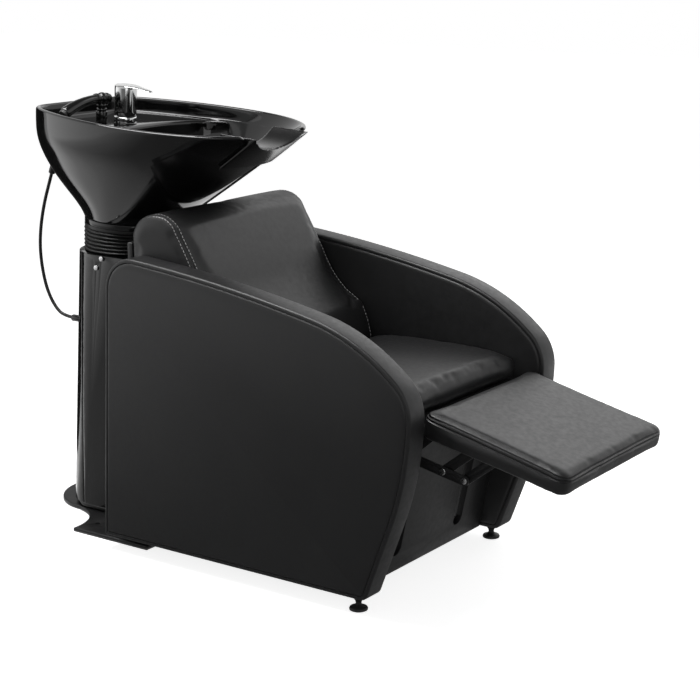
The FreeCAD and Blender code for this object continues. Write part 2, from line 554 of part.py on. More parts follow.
# Base plate, spacers, foot ring and mast
base_blank = slab("base_blank", "XY_Plane", [
    ("-plate_half", "plate_front_y"), ("plate_half", "plate_front_y"),
    ("plate_half", "plate_corner_y", "waist_round", -1), ("waist_half", "waist_y"),
    ("lobe_radius", "lobe_y", "lobe_radius", 1), ("0", "lobe_y + lobe_radius", "lobe_radius", 1),
    ("-lobe_radius", "lobe_y"), ("-waist_half", "waist_y", "waist_round", -1), ("-plate_half", "plate_corner_y"),
], "0", "plate_thickness")
rounded(base_blank, "plate_thickness * 0.3", lambda edge: edge.BoundBox.ZLength < 0.01
        and edge.BoundBox.ZMin > val("plate_thickness") - 0.01)
anchors = [rod(f"{hand}_anchor", "anchor_hole_radius", "plate_thickness + 2", f"{side} * anchor_x", "0", "-1")
           for hand, side in SIDES]
node(cut("base_plate", base_blank, anchors), "base_plate")
node(group("plate_spacers", [
    block(f"{hand}_spacer", f"{side} * spacer_x - spacer_width / 2", "bottom_rail_y", "plate_thickness",
          "spacer_width", "rail_width", "arm_bottom - plate_thickness") for hand, side in SIDES]), "plate_spacers")


def column_outline(end, inset="0"):
    """Plan outline of the column at its base or top, drawn in by an inset."""
    return rounded_box(f"(column_{end}_half - ({inset}))", f"(column_front_y + {inset})",
                       f"(column_{end}_rear_y - ({inset}))", f"(column_front_round - {inset})",
                       f"(column_{end}_round - {inset})")


ring = slab("foot_ring_outer", "XY_Plane", column_outline("base", "ring_inset"),
            "plate_thickness", "column_base_z - plate_thickness")
ring_hollow = slab("foot_ring_hollow", "XY_Plane",
                   column_outline("base", "(ring_inset + ring_wall)"),
                   "plate_thickness - 1", "column_base_z - plate_thickness + 2")
node(cut("foot_ring", ring, [ring_hollow]), "foot_ring")

mast_flange = block("mast_flange", "-mast_flange_width / 2", "column_y - mast_flange_width / 2",
                    "plate_thickness", "mast_flange_width", "mast_flange_width", "mast_flange_thickness")
mast_post = block("mast_post", "-mast_width / 2", "column_y - mast_width / 2", "plate_thickness",
                  "mast_width", "mast_width", "mast_top_z - plate_thickness")
mast_hollow = block("mast_hollow", "-mast_width / 2 + mast_wall", "column_y - mast_width / 2 + mast_wall",
                    "plate_thickness - 1", "mast_width - 2 * mast_wall", "mast_width - 2 * mast_wall",
                    "mast_top_z - plate_thickness + 2")
node(cut("mast", fuse("mast_blank", [mast_flange, mast_post]), [mast_hollow]), "mast")

# Column covers: a tapered shell parted at the seam into a front and a rear cover
shell_outer = lofted("shell_outer", "XY_Plane", [
    ("column_base_z", column_outline("base")),
    ("column_top_z", column_outline("top"))])
shell_inner = lofted("shell_inner", "XY_Plane", [
    ("column_base_z", column_outline("base", "column_wall")),
    ("column_top_z", column_outline("top", "column_wall"))])
screw_holes, screws = [], []
for hand, side in SIDES:
    for word in ("low", "high"):
        reach = (f"column_top_half + (column_base_half - column_top_half) * (column_top_z - screw_{word}_z)"
                 " / (column_top_z - column_base_z)")
        screw_holes.append(rod(f"{hand}_{word}_screw_hole", "screw_radius + fit_gap", "screw_drill",
                               from_inner(side, "column_top_half - screw_drill / 2", "screw_drill"),
                               f"screw_{word}_y", f"screw_{word}_z", "X"))
        shank = rod(f"{hand}_{word}_screw_shank", "screw_radius", "screw_length",
                    from_inner(side, f"{reach} + 1 - screw_length", "screw_length"), f"screw_{word}_y",
                    f"screw_{word}_z", "X")
        head = rod(f"{hand}_{word}_screw_head", "screw_head_radius", "screw_head_height",
                   from_inner(side, f"{reach} + fit_gap", "screw_head_height"), f"screw_{word}_y",
                   f"screw_{word}_z", "X")
        screws.append(fuse(f"{hand}_{word}_screw", [shank, head]))
shell = cut("column_shell", shell_outer, [shell_inner])
front_zone = block("front_zone", "-2 * column_base_half", "column_front_y - 10", "0", "4 * column_base_half",
                   "column_seam_y - column_seam_gap / 2 - column_front_y + 10", "column_top_z + 10")
rear_zone = block("rear_zone", "-2 * column_base_half", "column_seam_y + column_seam_gap / 2", "0",
                  "4 * column_base_half", "column_base_rear_y", "column_top_z + 10")
hose_entry = rod("hose_entry", "gland_radius + fit_gap", "120", "hose_x", "column_seam_y", "hose_entry_z", "Y")
node(cut("column_front_cover", common("front_half", shell, front_zone), screw_holes), "column_front_cover")
node(cut("column_rear_cover", common("rear_half", shell, rear_zone), [hose_entry]), "column_rear_cover")
node(group("column_screws", screws), "column_screws")

CAP_INSET = "(column_wall + fit_gap)"
cap_outer = slab("cap_outer", "XY_Plane", column_outline("top", CAP_INSET),
                 "column_top_z - cap_depth", "cap_depth")
cap_hollow = slab("cap_hollow", "XY_Plane",
                  column_outline("top", f"({CAP_INSET} + cap_wall)"),
                  "column_top_z - cap_depth - 1", "cap_depth - cap_plate + 1")
cap_hole = rod("cap_hole", "cap_hole_radius", "cap_depth", "0", "cap_hole_y", "column_top_z - cap_depth / 2")
node(cut("column_cap", cap_outer, [cap_hollow, cap_hole] + screw_holes), "column_cap")

# Tilt joint: yoke on the mast, pin, and the carrier under the basin
yoke_plate = block("yoke_plate_blank", "-yoke_width / 2", "column_y - yoke_width / 2", "mast_top_z",
                   "yoke_width", "yoke_width", "yoke_plate")
yoke_ears = [slab(f"{hand}_yoke_ear", "YZ_Plane", [
    ("column_y - ear_radius", "mast_top_z"), ("column_y + ear_radius", "mast_top_z"),
    ("column_y + ear_radius", "tilt_z", "ear_radius", 1), ("column_y", "tilt_z + ear_radius", "ear_radius", 1),
    ("column_y - ear_radius", "tilt_z"),
], from_inner(side, "yoke_ear_x", "ear_thickness"), "ear_thickness") for hand, side in SIDES]
yoke_bore = rod("yoke_bore", "pin_radius + running_gap", "2 * yoke_width", "-yoke_width", "column_y", "tilt_z", "X")
node(cut("tilt_yoke", fuse("yoke_blank", [yoke_plate] + yoke_ears), [yoke_bore]), "tilt_yoke")
PIN_END = "yoke_ear_x + ear_thickness + fit_gap"
pin_parts = [rod("pin_shank", "pin_radius", f"2 * ({PIN_END})", f"-({PIN_END})", "column_y", "tilt_z", "X")]
pin_parts += [rod(f"{hand}_pin_head", "pin_radius + 3", "4", from_inner(side, PIN_END, "4"), "column_y", "tilt_z",
                  "X") for hand, side in SIDES]
node(fuse("tilt_pin", pin_parts), "tilt_pin")


def on_basin(thing):
    """Turn a piece, drawn level about the tilt axis, to the basin's rest angle."""
    return node(leaning(thing, "basin_lean", "column_y", "tilt_z"), thing.Name)


carrier_plate = block("carrier_plate", "-carrier_half", "-carrier_front", "neck_z - tilt_z - carrier_thickness",
                      "2 * carrier_half", "carrier_front + carrier_rear", "carrier_thickness")
carrier_ears = [slab(f"{hand}_carrier_ear", "YZ_Plane", [
    ("-ear_radius", "0", "ear_radius", 1), ("0", "-ear_radius", "ear_radius", 1), ("ear_radius", "0"),
    ("ear_radius", "neck_z - tilt_z - 1"), ("-ear_radius", "neck_z - tilt_z - 1"),
], from_inner(side, "yoke_ear_x - bar_gap - ear_thickness", "ear_thickness"), "ear_thickness")
    for hand, side in SIDES]
carrier_bore = rod("carrier_bore", "pin_radius + running_gap", "2 * yoke_width", "-yoke_width", "0", "0", "X")
carrier_eye = rod("carrier_eye", "carrier_eye_radius", "2 * carrier_thickness", "0", "tap_back",
                  "neck_z - tilt_z - 1.5 * carrier_thickness")
on_basin(cut("bowl_carrier", fuse("carrier_blank", [carrier_plate] + carrier_ears), [carrier_bore, carrier_eye]))
collar_blank = rod("collar_blank", "collar_radius", "collar_height", "0", "0", "neck_z - tilt_z - collar_height")
collar_hole = rod("collar_hole", "collar_radius - collar_wall", "collar_height + 2", "0", "0",
                  "neck_z - tilt_z - collar_height - 1")
on_basin(cut("bellows_collar", collar_blank, [collar_hole]))


def solid(name, shape):
    feature = doc.addObject("Part::Feature", name)
    feature.Shape = shape
    return feature


def ring_at(radius, share, low, high, lean):
    """Circle on the way from a level ring at low to a leaning ring at high, as (y, z) centres."""
    centre = Vector(0, low[0] + (high[0] - low[0]) * share, low[1] + (high[1] - low[1]) * share)
    angle = math.radians(lean * share)
    axis = Vector(0, -math.sin(angle), math.cos(angle))
    return Part.Wire(Part.makeCircle(radius, centre, axis))


def leaned(y, z):
    """World y and z of a level basin point given from the tilt axis."""
    angle = math.radians(val("basin_lean"))
    return (val("column_y") + y * math.cos(angle) - z * math.sin(angle),
            val("tilt_z") + y * math.sin(angle) + z * math.cos(angle))


# Bellows: a band above a stack of ribs, each rib a ruled loft through four circles
def bellows_shape():
    low = (val("column_y"), val("column_top_z") + 0.05)
    high = leaned(0, val("neck_z - tilt_z - collar_height") - 0.05)
    lean, crest = val("basin_lean"), val("bellows_radius")
    trough = crest - val("bellows_groove")
    ribs = int(val("bellows_ribs"))
    pitch = (1 - val("bellows_band") / (high[1] - low[1])) / ribs
    rings = []
    for rib in range(ribs):
        for part, radius in ((0.0, trough), (0.22, crest), (0.72, crest), (0.94, trough)):
            rings.append(ring_at(radius, (rib + part) * pitch, low, high, lean))
    rings.append(ring_at(crest - 1, ribs * pitch, low, high, lean))
    rings.append(ring_at(crest - 1, 1.0, low, high, lean))
    bore = trough - val("bellows_wall")
    hollow = Part.makeLoft([ring_at(bore, share, low, high, lean) for share in (-0.05, 0.5, 1.05)], True, True)
    return Part.makeLoft(rings, True, True).cut(hollow)


node(solid("bellows", bellows_shape()), "bellows")


# Basin: spline sections lofted from the round neck to the long rim, then hollowed
EGG_POINTS = 48
ABOVE_RIM = 1.08


def egg(height, middle, front, rear, half, front_power, rear_power, taper):
    """Closed plan curve about x = 0: widest at y = -middle, with its own corner sharpness before and behind."""
    points = []
    for step in range(EGG_POINTS):
        turn = 2 * math.pi * step / EGG_POINTS
        across, along = math.cos(turn), math.sin(turn)
        power = rear_power if along > 0 else front_power
        reach = (abs(across) ** power + abs(along) ** power) ** (-1 / power)
        across, along = across * reach, along * reach
        length = rear + middle if along > 0 else front - middle
        narrowing = 1 - taper * max(along, 0.0) ** val("taper_power")
        points.append(Vector(half * across * narrowing, along * length - middle, height))
    curve = Part.BSplineCurve()
    curve.interpolate(Points=points, PeriodicFlag=True)
    return Part.Wire([curve.toShape()])


def basin_level(z):
    return (z - val("neck_z")) / val("rim_z - neck_z")


def knee(share):
    """Rise that runs straight up to the knee and then eases to level."""
    gap = share / val("flank_knee") - 1
    return 1 + (gap - math.sqrt(gap * gap + val("knee_softness"))) / 2


def basin_outer(level, grow=0.0, front_grow=None):
    """Outer section of the basin at a share of its height, grown or shrunk all round."""
    swell = knee(level) / knee(1)
    rise = max(0.0, level) ** val("front_rise")
    neck = val("neck_radius")
    front = neck + val("rim_front - neck_radius") * rise + (grow if front_grow is None else front_grow)
    rear = neck + val("rim_rear - neck_radius") * swell + grow
    half = neck + val("rim_half - neck_radius") * swell + grow
    height = val("neck_z - tilt_z") + val("rim_z - neck_z") * level
    return egg(height, val("rim_middle") * rise, front, rear, half, 2 + val("nose_power - 2") * rise,
               2 + val("corner_power - 2") * swell ** 2, val("rear_taper") * swell)


BASIN_LEVELS = (0, 0.08, 0.18, 0.28, 0.38, 0.48, 0.57, 0.66, 0.75, 0.84, 0.92, 1)


def upright(radius, x, y, low, high):
    return Part.makeCylinder(radius, high - low, Vector(x, y, low - val("tilt_z")))


def notch(radius):
    """Cylinder along y that cuts the neck opening in the front wall."""
    reach = val("rim_front") + 60
    axis_z = val("rim_z - tilt_z - notch_depth + notch_round")
    return Part.makeCylinder(radius, reach - val("notch_reach"), Vector(0, -reach, axis_z), Vector(0, 1, 0))


GLAND_BASE = (-112.0, 154.0, 838.0)
GLAND_TURN = Rotation(Vector(1, 0, 0), -162.5)


def gland_hole():
    x, y, z = GLAND_BASE
    hole = Part.makeCylinder(val("gland_radius + thread_gap"), val("gland_length"))
    hole.Placement = Placement(Vector(x, y, z - val("tilt_z")), GLAND_TURN)
    return hole


def basin_shape():
    wall, tilt_z = val("basin_wall"), val("tilt_z")
    lip = wall + val("lip_extra")
    body = Part.makeLoft([basin_outer(level) for level in BASIN_LEVELS], True, False)
    deck, above = basin_level(val("deck_z")), ABOVE_RIM
    recess = Part.makeLoft([basin_outer(level, -wall, -lip) for level in (deck, (deck + above) / 2, above)],
                           True, False)
    floor_z, deck_z = val("basin_floor_z"), val("deck_z")
    deck_rise, deck_swell = deck ** val("front_rise"), knee(deck) / knee(1)
    deck_front = val("neck_radius") + val("rim_front - neck_radius") * deck_rise - lip
    deck_half = val("neck_radius") + val("rim_half - neck_radius") * deck_swell - lip
    nose = 2 + val("nose_power - 2") * deck_rise
    sections = []
    for share in (0, 0.25, 0.5, 0.75, 1.01):
        spread = 1 - max(0.0, 1 - share) ** val("basin_side_power")
        reach = share ** val("basin_front_power")
        front = val("basin_floor_front") + (deck_front - val("basin_floor_front")) * reach
        rear = val("basin_floor_rear") + val("basin_deck_rear - basin_floor_rear") * share
        half = val("basin_floor_half") + (deck_half - val("basin_floor_half")) * spread
        middle = rear + (front - rear) * val("basin_widest")
        sections.append(egg(floor_z - tilt_z + (deck_z - floor_z) * share, middle, front, -rear, half, nose,
                            val("basin_edge_power"), 0.0))
    hollow = Part.makeLoft(sections, True, False)
    drain_y = -val("drain_setback")
    tools = [
        recess, hollow, notch(val("notch_round")), gland_hole(),
        upright(val("drain_radius"), 0, drain_y, val("neck_z") - 1, floor_z + 1),
        upright(val("drain_seat_radius"), 0, drain_y, floor_z - val("drain_seat_depth"), floor_z + 6),
        upright(val("service_radius"), 0, val("tap_back"), val("neck_z") - 1, val("service_top_z")),
        upright(val("tap_shank_radius + fit_gap"), 0, val("tap_back"), val("service_top_z") - 1, deck_z + 1),
        upright(val("stem_radius + fit_gap"), val("sleeve_x"), val("sleeve_back"),
                deck_z - val("stem_drop") - 4, deck_z + 1),
    ]
    return body.cut(tools)


on_basin(solid("bowl", basin_shape()))


def neck_shape():
    """Soft saddle over the front lip: filled out from the wall and hollowed to the neck's curve."""
    pad, skin = val("neck_pad_thickness"), val("fit_gap")
    levels = (0.55, 0.65, 0.75, 0.85, 0.95, ABOVE_RIM)
    grown = Part.makeLoft([basin_outer(level, pad) for level in levels], True, False)
    kept = Part.makeLoft([basin_outer(level, skin) for level in levels], True, False)
    kept = kept.cut(notch(val("notch_round") - skin))
    low, half = val("neck_pad_drop_z - tilt_z"), val("neck_pad_half")
    depth, height = val("rim_front"), val("rim_z - neck_z")
    zone = Part.makeBox(2 * half, depth, height, Vector(-half, -val("neck_pad_inside") - depth, low))
    return grown.common(zone).cut([kept, notch(val("notch_round - neck_pad_top"))])


on_basin(solid("neck_rest", neck_shape()))

# Drain
strainer_disc = rod("strainer_disc", "drain_seat_radius - fit_gap", "strainer_thickness", "0", "-drain_setback",
                    "basin_floor_z - tilt_z - drain_seat_depth + fit_gap")
strainer_skirt = rod("strainer_skirt", "strainer_skirt_radius", "strainer_skirt", "0", "-drain_setback",
                     "basin_floor_z - tilt_z - drain_seat_depth + fit_gap - strainer_skirt")
skirt_hollow = rod("skirt_hollow", "strainer_skirt_radius - 2", "strainer_skirt + 1", "0", "-drain_setback",
                   "basin_floor_z - tilt_z - drain_seat_depth + fit_gap - strainer_skirt - 1")
strainer_holes = [rod("strainer_hole", "strainer_hole_radius", "40",
                      f"strainer_skirt_radius * 0.6 * cos({60 * step})",
                      f"strainer_skirt_radius * 0.6 * sin({60 * step}) - drain_setback",
                      "basin_floor_z - tilt_z - 20") for step in range(6)]
on_basin(cut("drain_strainer", fuse("strainer_blank", [strainer_disc, strainer_skirt]),
             [skirt_hollow] + strainer_holes))
TAIL_TOP = "basin_floor_z - drain_seat_depth - 2 - tail_bottom_z"
tail_blank = rod("tail_blank", "tail_radius", TAIL_TOP, "0", "-drain_setback", "tail_bottom_z - tilt_z")
tail_hollow = rod("tail_hollow", "tail_radius - tail_wall", f"{TAIL_TOP} + 2", "0", "-drain_setback",
                  "tail_bottom_z - tilt_z - 1")
on_basin(cut("drain_tailpiece", tail_blank, [tail_hollow]))


def waste_shape():
    low, high = (val("waste_y"), val("waste_top_z") + 0.05), leaned(-val("drain_setback"),
                                                                    val("tail_bottom_z - tilt_z") - 0.05)
    lean, radius = val("basin_lean"), val("waste_radius + 3")
    shares = [step / 8 for step in range(9)]
    outer = Part.makeLoft([ring_at(radius - 1.5 * (step % 2), share, low, high, lean)
                           for step, share in enumerate(shares)], True, True)
    hollow = Part.makeLoft([ring_at(radius - 4, share, low, high, lean) for share in (-0.05, 1.05)], True, True)
    return outer.cut(hollow)


node(solid("waste_hose", waste_shape()), "waste_hose")
waste_blank = rod("waste_blank", "waste_radius", "waste_top_z - waste_floor_z", "0", "waste_y", "waste_floor_z")
waste_hollow = rod("waste_hollow", "waste_radius - waste_wall", "waste_top_z - waste_floor_z + 2", "0", "waste_y",
                   "waste_floor_z - 1")
node(cut("waste_pipe", waste_blank, [waste_hollow]), "waste_pipe")

# Mixer tap
DECK = "deck_z - tilt_z"
flange_blank = rod("tap_flange_blank", "tap_flange_radius", "tap_flange_height", "0", "tap_back", DECK)
flange_hole = rod("tap_flange_hole", "tap_shank_radius + fit_gap", "tap_flange_height + 2", "0", "tap_back",
                  f"{DECK} - 1")
on_basin(cut("tap_base_ring", flange_blank, [flange_hole]))
barrel = rod("tap_barrel", "tap_radius", "tap_height - tap_flange_height", "0", "tap_back",
             f"{DECK} + tap_flange_height")
shank = rod("tap_shank", "tap_shank_radius", "tap_shank_length", "0", "tap_back",
            f"{DECK} + tap_flange_height - tap_shank_length + 1")
tails = [rod(f"{hand}_tail", "supply_radius", "supply_length", f"{side} * supply_x", "tap_back",
             f"{DECK} + tap_flange_height - tap_shank_length - supply_length + 2") for hand, side in SIDES]
SEAM_BEHIND = Placement(Vector(), Rotation(Vector(0, 0, 1), 90))
ball_seat = drive(doc.addObject("Part::Sphere", "ball_seat"), Radius="tap_ball_radius + fit_gap")
place(ball_seat, "0", "tap_back", f"{DECK} + tap_ball_z")
on_basin(cut("tap_body", fuse("tap_blank", [barrel, shank] + tails), [ball_seat]))
nut_blank = rod("nut_blank", "tap_nut_radius", "tap_nut_height", "0", "tap_back",
                "service_top_z - tilt_z - tap_nut_height")
nut_hole = rod("nut_hole", "tap_shank_radius + thread_gap", "tap_nut_height + 2", "0", "tap_back",
               "service_top_z - tilt_z - tap_nut_height - 1")
on_basin(cut("tap_nut", nut_blank, [nut_hole]))
ball = drive(doc.addObject("Part::Sphere", "ball"), Radius="tap_ball_radius")
ball.Placement = SEAM_BEHIND
place(ball, "0", "tap_back", f"{DECK} + tap_ball_z")
LUG_END = "lever_cap_radius + 2"
lever_pin = rod("lever_pin", "lever_pin_radius", f"2 * ({LUG_END})", f"-({LUG_END})", "tap_back",
                f"{DECK} + tap_ball_z", "X")
on_basin(fuse("tap_ball", [ball, lever_pin]))
cap = rod("lever_cap", "lever_cap_radius", "lever_cap_top", "0", "tap_back", f"{DECK} + tap_ball_z")
lugs = [rod(f"{hand}_lug", "lever_lug_radius", "lever_lug",
            from_inner(side, f"{LUG_END} - lever_lug", "lever_lug"), "tap_back",
            f"{DECK} + tap_ball_z", "X") for hand, side in SIDES]
BLADE_Z = f"{DECK} + tap_ball_z + lever_cap_top"
blade = slab("lever_blade", "YZ_Plane", [
    ("tap_back + lever_tail", f"{BLADE_Z} - 2 * lever_thickness"),
    ("tap_back + lever_tail", f"{BLADE_Z} - lever_thickness / 2", "lever_round", 1),
    ("tap_back - lever_reach", f"{BLADE_Z} - 2 * lever_thickness"),
    ("tap_back - lever_reach", f"{BLADE_Z} - 2.6 * lever_thickness", "lever_round", -1),
], "-lever_width / 2", "lever_width")
cap_cavity = drive(doc.addObject("Part::Sphere", "cap_cavity"), Radius="tap_ball_radius + lever_gap")
cap_cavity.Placement = SEAM_BEHIND
place(cap_cavity, "0", "tap_back", f"{DECK} + tap_ball_z")
pin_hole = rod("pin_hole", "lever_pin_radius + running_gap", "4 * lever_cap_radius", "-2 * lever_cap_radius",
               "tap_back", f"{DECK} + tap_ball_z", "X")
skirt_room = rod("skirt_room", "lever_skirt_radius", "lever_skirt + 1", "0", "tap_back",
                 f"{DECK} + tap_ball_z - 1")
cup = cut("lever_cup", fuse("lever_top", [cap, blade]), [cap_cavity, skirt_room])
on_basin(cut("tap_lever", fuse("lever_blank", [cup] + lugs), [pin_hole]))

# Hand shower
sleeve_blank = rod("sleeve_blank", "sleeve_radius", "sleeve_height", "sleeve_x", "sleeve_back", DECK)
sleeve_hole = rod("sleeve_hole", "stem_radius + thread_gap", "sleeve_height + 2", "sleeve_x", "sleeve_back",
                  f"{DECK} - 1")
on_basin(cut("shower_sleeve", sleeve_blank, [sleeve_hole]))
stem = rod("shower_stem", "stem_radius", "knuckle_z + stem_drop", "sleeve_x", "sleeve_back", f"{DECK} - stem_drop")
swivel = rod("shower_swivel", "stem_radius + 3", "6", "sleeve_x", "sleeve_back",
             f"{DECK} + sleeve_height + fit_gap")
knuckle = drive(doc.addObject("Part::Sphere", "shower_knuckle"), Radius="knuckle_radius")
place(knuckle, "sleeve_x", "sleeve_back", f"{DECK} + knuckle_z")


def along_wand(piece, distance):
    """Carry a cone drawn along z to a distance along the sloping wand."""
    piece.Placement = Placement(Vector(), Rotation(Vector(0, 1, 0), -90 - val("wand_slope")))
    return place(piece, f"sleeve_x - ({distance}) * cos(wand_slope)", "sleeve_back",
                 f"{DECK} + knuckle_z - ({distance}) * sin(wand_slope)")


handle = doc.addObject("Part::Cone", "shower_handle")
drive(handle, Radius1="wand_root_radius", Radius2="wand_tip_radius", Height="wand_length")
along_wand(handle, "0")
on_basin(fuse("shower_wand", [stem, swivel, knuckle, handle]))
spray = doc.addObject("Part::Cone", "spray_disc")
drive(spray, Radius1="spray_radius", Radius2="spray_radius - 2", Height="spray_thickness")
along_wand(spray, "wand_length")
on_basin(group("spray_face", [spray]))

# Shower hose with a gland at each end
gland_blank = rod("gland_blank", "gland_radius", "gland_length", "0", "0", "0")
gland_bore = rod("gland_bore", "hose_radius + fit_gap", "gland_length", "0", "0", "gland_length / 2")
bowl_gland = cut("bowl_gland_piece", gland_blank, [gland_bore])
bowl_gland.Placement = Placement(Vector(GLAND_BASE[0], GLAND_BASE[1], 0), GLAND_TURN)
bowl_gland.setExpression("Placement.Base.z", bind(f"{GLAND_BASE[2]} - tilt_z"))
on_basin(group("bowl_hose_gland", [bowl_gland]))
entry_blank = rod("entry_blank", "gland_radius", "gland_length", "hose_x", "hose_end_y - gland_length / 2",
                  "hose_entry_z", "Y")
entry_bore = rod("entry_bore", "hose_radius + fit_gap", "gland_length", "hose_x", "hose_end_y - 6", "hose_entry_z",
                 "Y")
node(cut("column_hose_gland", entry_blank, [entry_bore]), "column_hose_gland")

HOSE_ROUTE = [
    (-112, 192.7, 832.6), (-112, 207.1, 795.4), (-112, 225, 750), (-110, 242, 695), (-107, 252, 640),
    (-103, 252, 585), (-99, 242, 530), (-96, 220, 490), (-95, 192, 470), (-95, 148, 470),
]


def hose_shape():
    """Tube along straight runs joined by tangent arcs."""
    points = [Vector(*point) for point in HOSE_ROUTE]
    edges, last, radii = [], points[0], []
    for before, corner, after in zip(points, points[1:], points[2:]):
        back, ahead = before - corner, after - corner
        half_turn = (math.pi - back.getAngle(ahead)) / 2
        trim = 0.45 * min(back.Length, ahead.Length)
        radius = trim / math.tan(half_turn)
        radii.append(round(radius))
        back.normalize()
        ahead.normalize()
        inward = (back + ahead).normalize()
        start, stop = corner + back * trim, corner + ahead * trim
        middle = corner + inward * (radius / math.cos(half_turn) - radius)
        edges.append(Part.makeLine(last, start))
        edges.append(Part.Arc(start, middle, stop).toShape())
        last = stop
    edges.append(Part.makeLine(last, points[-1]))
    spine = Part.Wire(edges)
    ring = Part.Wire(Part.makeCircle(val("hose_radius"), points[0], points[1] - points[0]))
    tube_solid = spine.makePipeShell([ring], True, False)
    print("hose bend radii", radii)
    print("hose volume share", tube_solid.Volume / (math.pi * val("hose_radius") ** 2 * spine.Length))
    return tube_solid


node(solid("shower_hose", hose_shape()), "shower_hose")

# Check every object, then write one file for each sub-part
doc.recompute()
faults = []
for thing in doc.Objects:
    if "Invalid" in thing.State or "Error" in thing.State:
        faults.append(f"{thing.Name} {thing.State}")
for piece in nodes:
    shape = piece.Shape
    if shape.isNull() or not shape.isValid() or not shape.Solids:
        faults.append(f"{piece.Label} has no valid solid")
if faults:
    raise RuntimeError("; ".join(faults))
os.makedirs("parts", exist_ok=True)
for piece in nodes:
    piece.Shape.exportStep(f"parts/{piece.Label}.step")
print(len(nodes), "sub-parts written")
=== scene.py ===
"""Looks of the shampoo chair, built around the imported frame. Metres, +Z up, the sitter faces -Y."""
import json
import math

import bmesh
import bpy
from mathutils import Matrix, Vector
from mathutils.bvhtree import BVHTree


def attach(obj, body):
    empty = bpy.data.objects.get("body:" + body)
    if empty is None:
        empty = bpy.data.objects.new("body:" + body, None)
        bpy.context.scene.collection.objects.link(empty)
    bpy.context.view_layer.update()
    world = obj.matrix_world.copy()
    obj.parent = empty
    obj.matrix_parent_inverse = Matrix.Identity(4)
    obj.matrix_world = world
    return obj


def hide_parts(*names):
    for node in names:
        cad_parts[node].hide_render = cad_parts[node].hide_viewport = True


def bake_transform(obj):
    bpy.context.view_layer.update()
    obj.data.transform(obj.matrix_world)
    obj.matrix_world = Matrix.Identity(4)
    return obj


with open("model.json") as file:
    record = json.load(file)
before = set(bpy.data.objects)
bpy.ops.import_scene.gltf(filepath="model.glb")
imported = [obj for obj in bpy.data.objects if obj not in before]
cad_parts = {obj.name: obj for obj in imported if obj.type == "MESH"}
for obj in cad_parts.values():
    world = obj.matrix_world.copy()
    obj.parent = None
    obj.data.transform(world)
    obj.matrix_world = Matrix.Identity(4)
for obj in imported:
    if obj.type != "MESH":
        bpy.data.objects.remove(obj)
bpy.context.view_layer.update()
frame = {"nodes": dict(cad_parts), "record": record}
nodes = frame["nodes"]
bodies_of = {node: body for body, members in frame["record"]["behaviour"]["bodies"].items() for node in members}
slots_of = {part["node"]: part["material_slot"] for part in frame["record"]["subparts"]}
scene = bpy.context.scene

LEAN = math.radians(3.7)
TILT = Vector((0, 0.045, 0.655))
SLOPE = math.radians(11.7)
HINGE = Vector((0, -0.898, 0.369))


# Camera at the photograph's place
def add_camera():
    lens = bpy.data.cameras.new("camera")
    lens.lens = 89.24
    lens.sensor_width = 36
    lens.clip_end = 40
    camera = bpy.data.objects.new("camera", lens)
    camera.location = (-3.064, -2.733, 1.38)
    camera.rotation_euler = (math.radians(76.39), 0, math.radians(-55))
    scene.collection.objects.link(camera)
    scene.camera = camera


add_camera()


# Tools for selecting, placing and finishing pieces
def select_only(piece):
    bpy.ops.object.select_all(action="DESELECT")
    piece.select_set(True)
    bpy.context.view_layer.objects.active = piece


def apply(piece, kind, **settings):
    """Add a modifier to a piece and apply it."""
    select_only(piece)
    modifier = piece.modifiers.new(kind.title(), kind)
    for name, value in settings.items():
        setattr(modifier, name, value)
    bpy.ops.object.modifier_apply(modifier=modifier.name)
    return piece


def bevelled(piece, width, segments, angle):
    """Round a piece's edges that are sharper than an angle."""
    return apply(piece, "BEVEL", width=width, segments=segments, limit_method="ANGLE",
                 angle_limit=math.radians(angle))


def smooth(piece, angle):
    select_only(piece)
    bpy.ops.object.shade_smooth_by_angle(angle=math.radians(angle))
    return piece


def in_edit(piece):
    select_only(piece)
    bpy.ops.object.mode_set(mode="EDIT")
    bpy.ops.mesh.select_all(action="SELECT")


def out_of_edit():
    bpy.ops.object.mode_set(mode="OBJECT")


def added(name):
    """Name the primitive that was just added and put its place in its mesh."""
    piece = bpy.context.object
    piece.name = name
    piece.data.name = name
    bpy.ops.object.transform_apply(location=True, rotation=True, scale=True)
    return piece


def dress(piece, body, material, slot, *stands_for):
    """Give a piece its finish, its body and the nodes that it stands for."""
    piece.data.materials.clear()
    piece.data.materials.append(material)
    if body:
        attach(piece, body)
    if stands_for:
        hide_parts(*stands_for)
    return piece


def copy_of(node, name):
    """A new piece with a node's shape, its doubled points merged."""
    piece = bpy.data.objects.new(name, nodes[node].data.copy())
    piece.data.name = name
    piece.data.materials.clear()
    scene.collection.objects.link(piece)
    in_edit(piece)
    bpy.ops.mesh.remove_doubles(threshold=1e-5)
    out_of_edit()
    return piece


def flattened(node, name):
    """A new piece with a node's shape, its flat faces made whole."""
    piece = copy_of(node, name)
    in_edit(piece)
    bpy.ops.mesh.dissolve_limited(angle_limit=math.radians(0.6))
    out_of_edit()
    return piece


def eased(node, material, width):
    """A rigid node with its hard edges eased."""
    piece = bevelled(flattened(node, node + "_finish"), width, 2, 30)
    smooth(piece, 40)
    dress(piece, bodies_of[node], material, slots_of[node], node)


def leaned(point):
    """Turn a level basin point to the basin's rest angle."""
    return TILT + Matrix.Rotation(LEAN, 3, "X") @ (Vector(point) - TILT)


def lean(piece):
    """Turn a level basin piece to the basin's rest angle."""
    turn = Matrix.Translation(TILT) @ Matrix.Rotation(LEAN, 4, "X") @ Matrix.Translation(-TILT)
    piece.data.transform(turn)
    return piece


def slope(piece):
    """Turn a piece drawn level from the legrest hinge to the legrest's rest angle."""
    piece.data.transform(Matrix.Translation(HINGE) @ Matrix.Rotation(SLOPE, 4, "X"))
    return piece


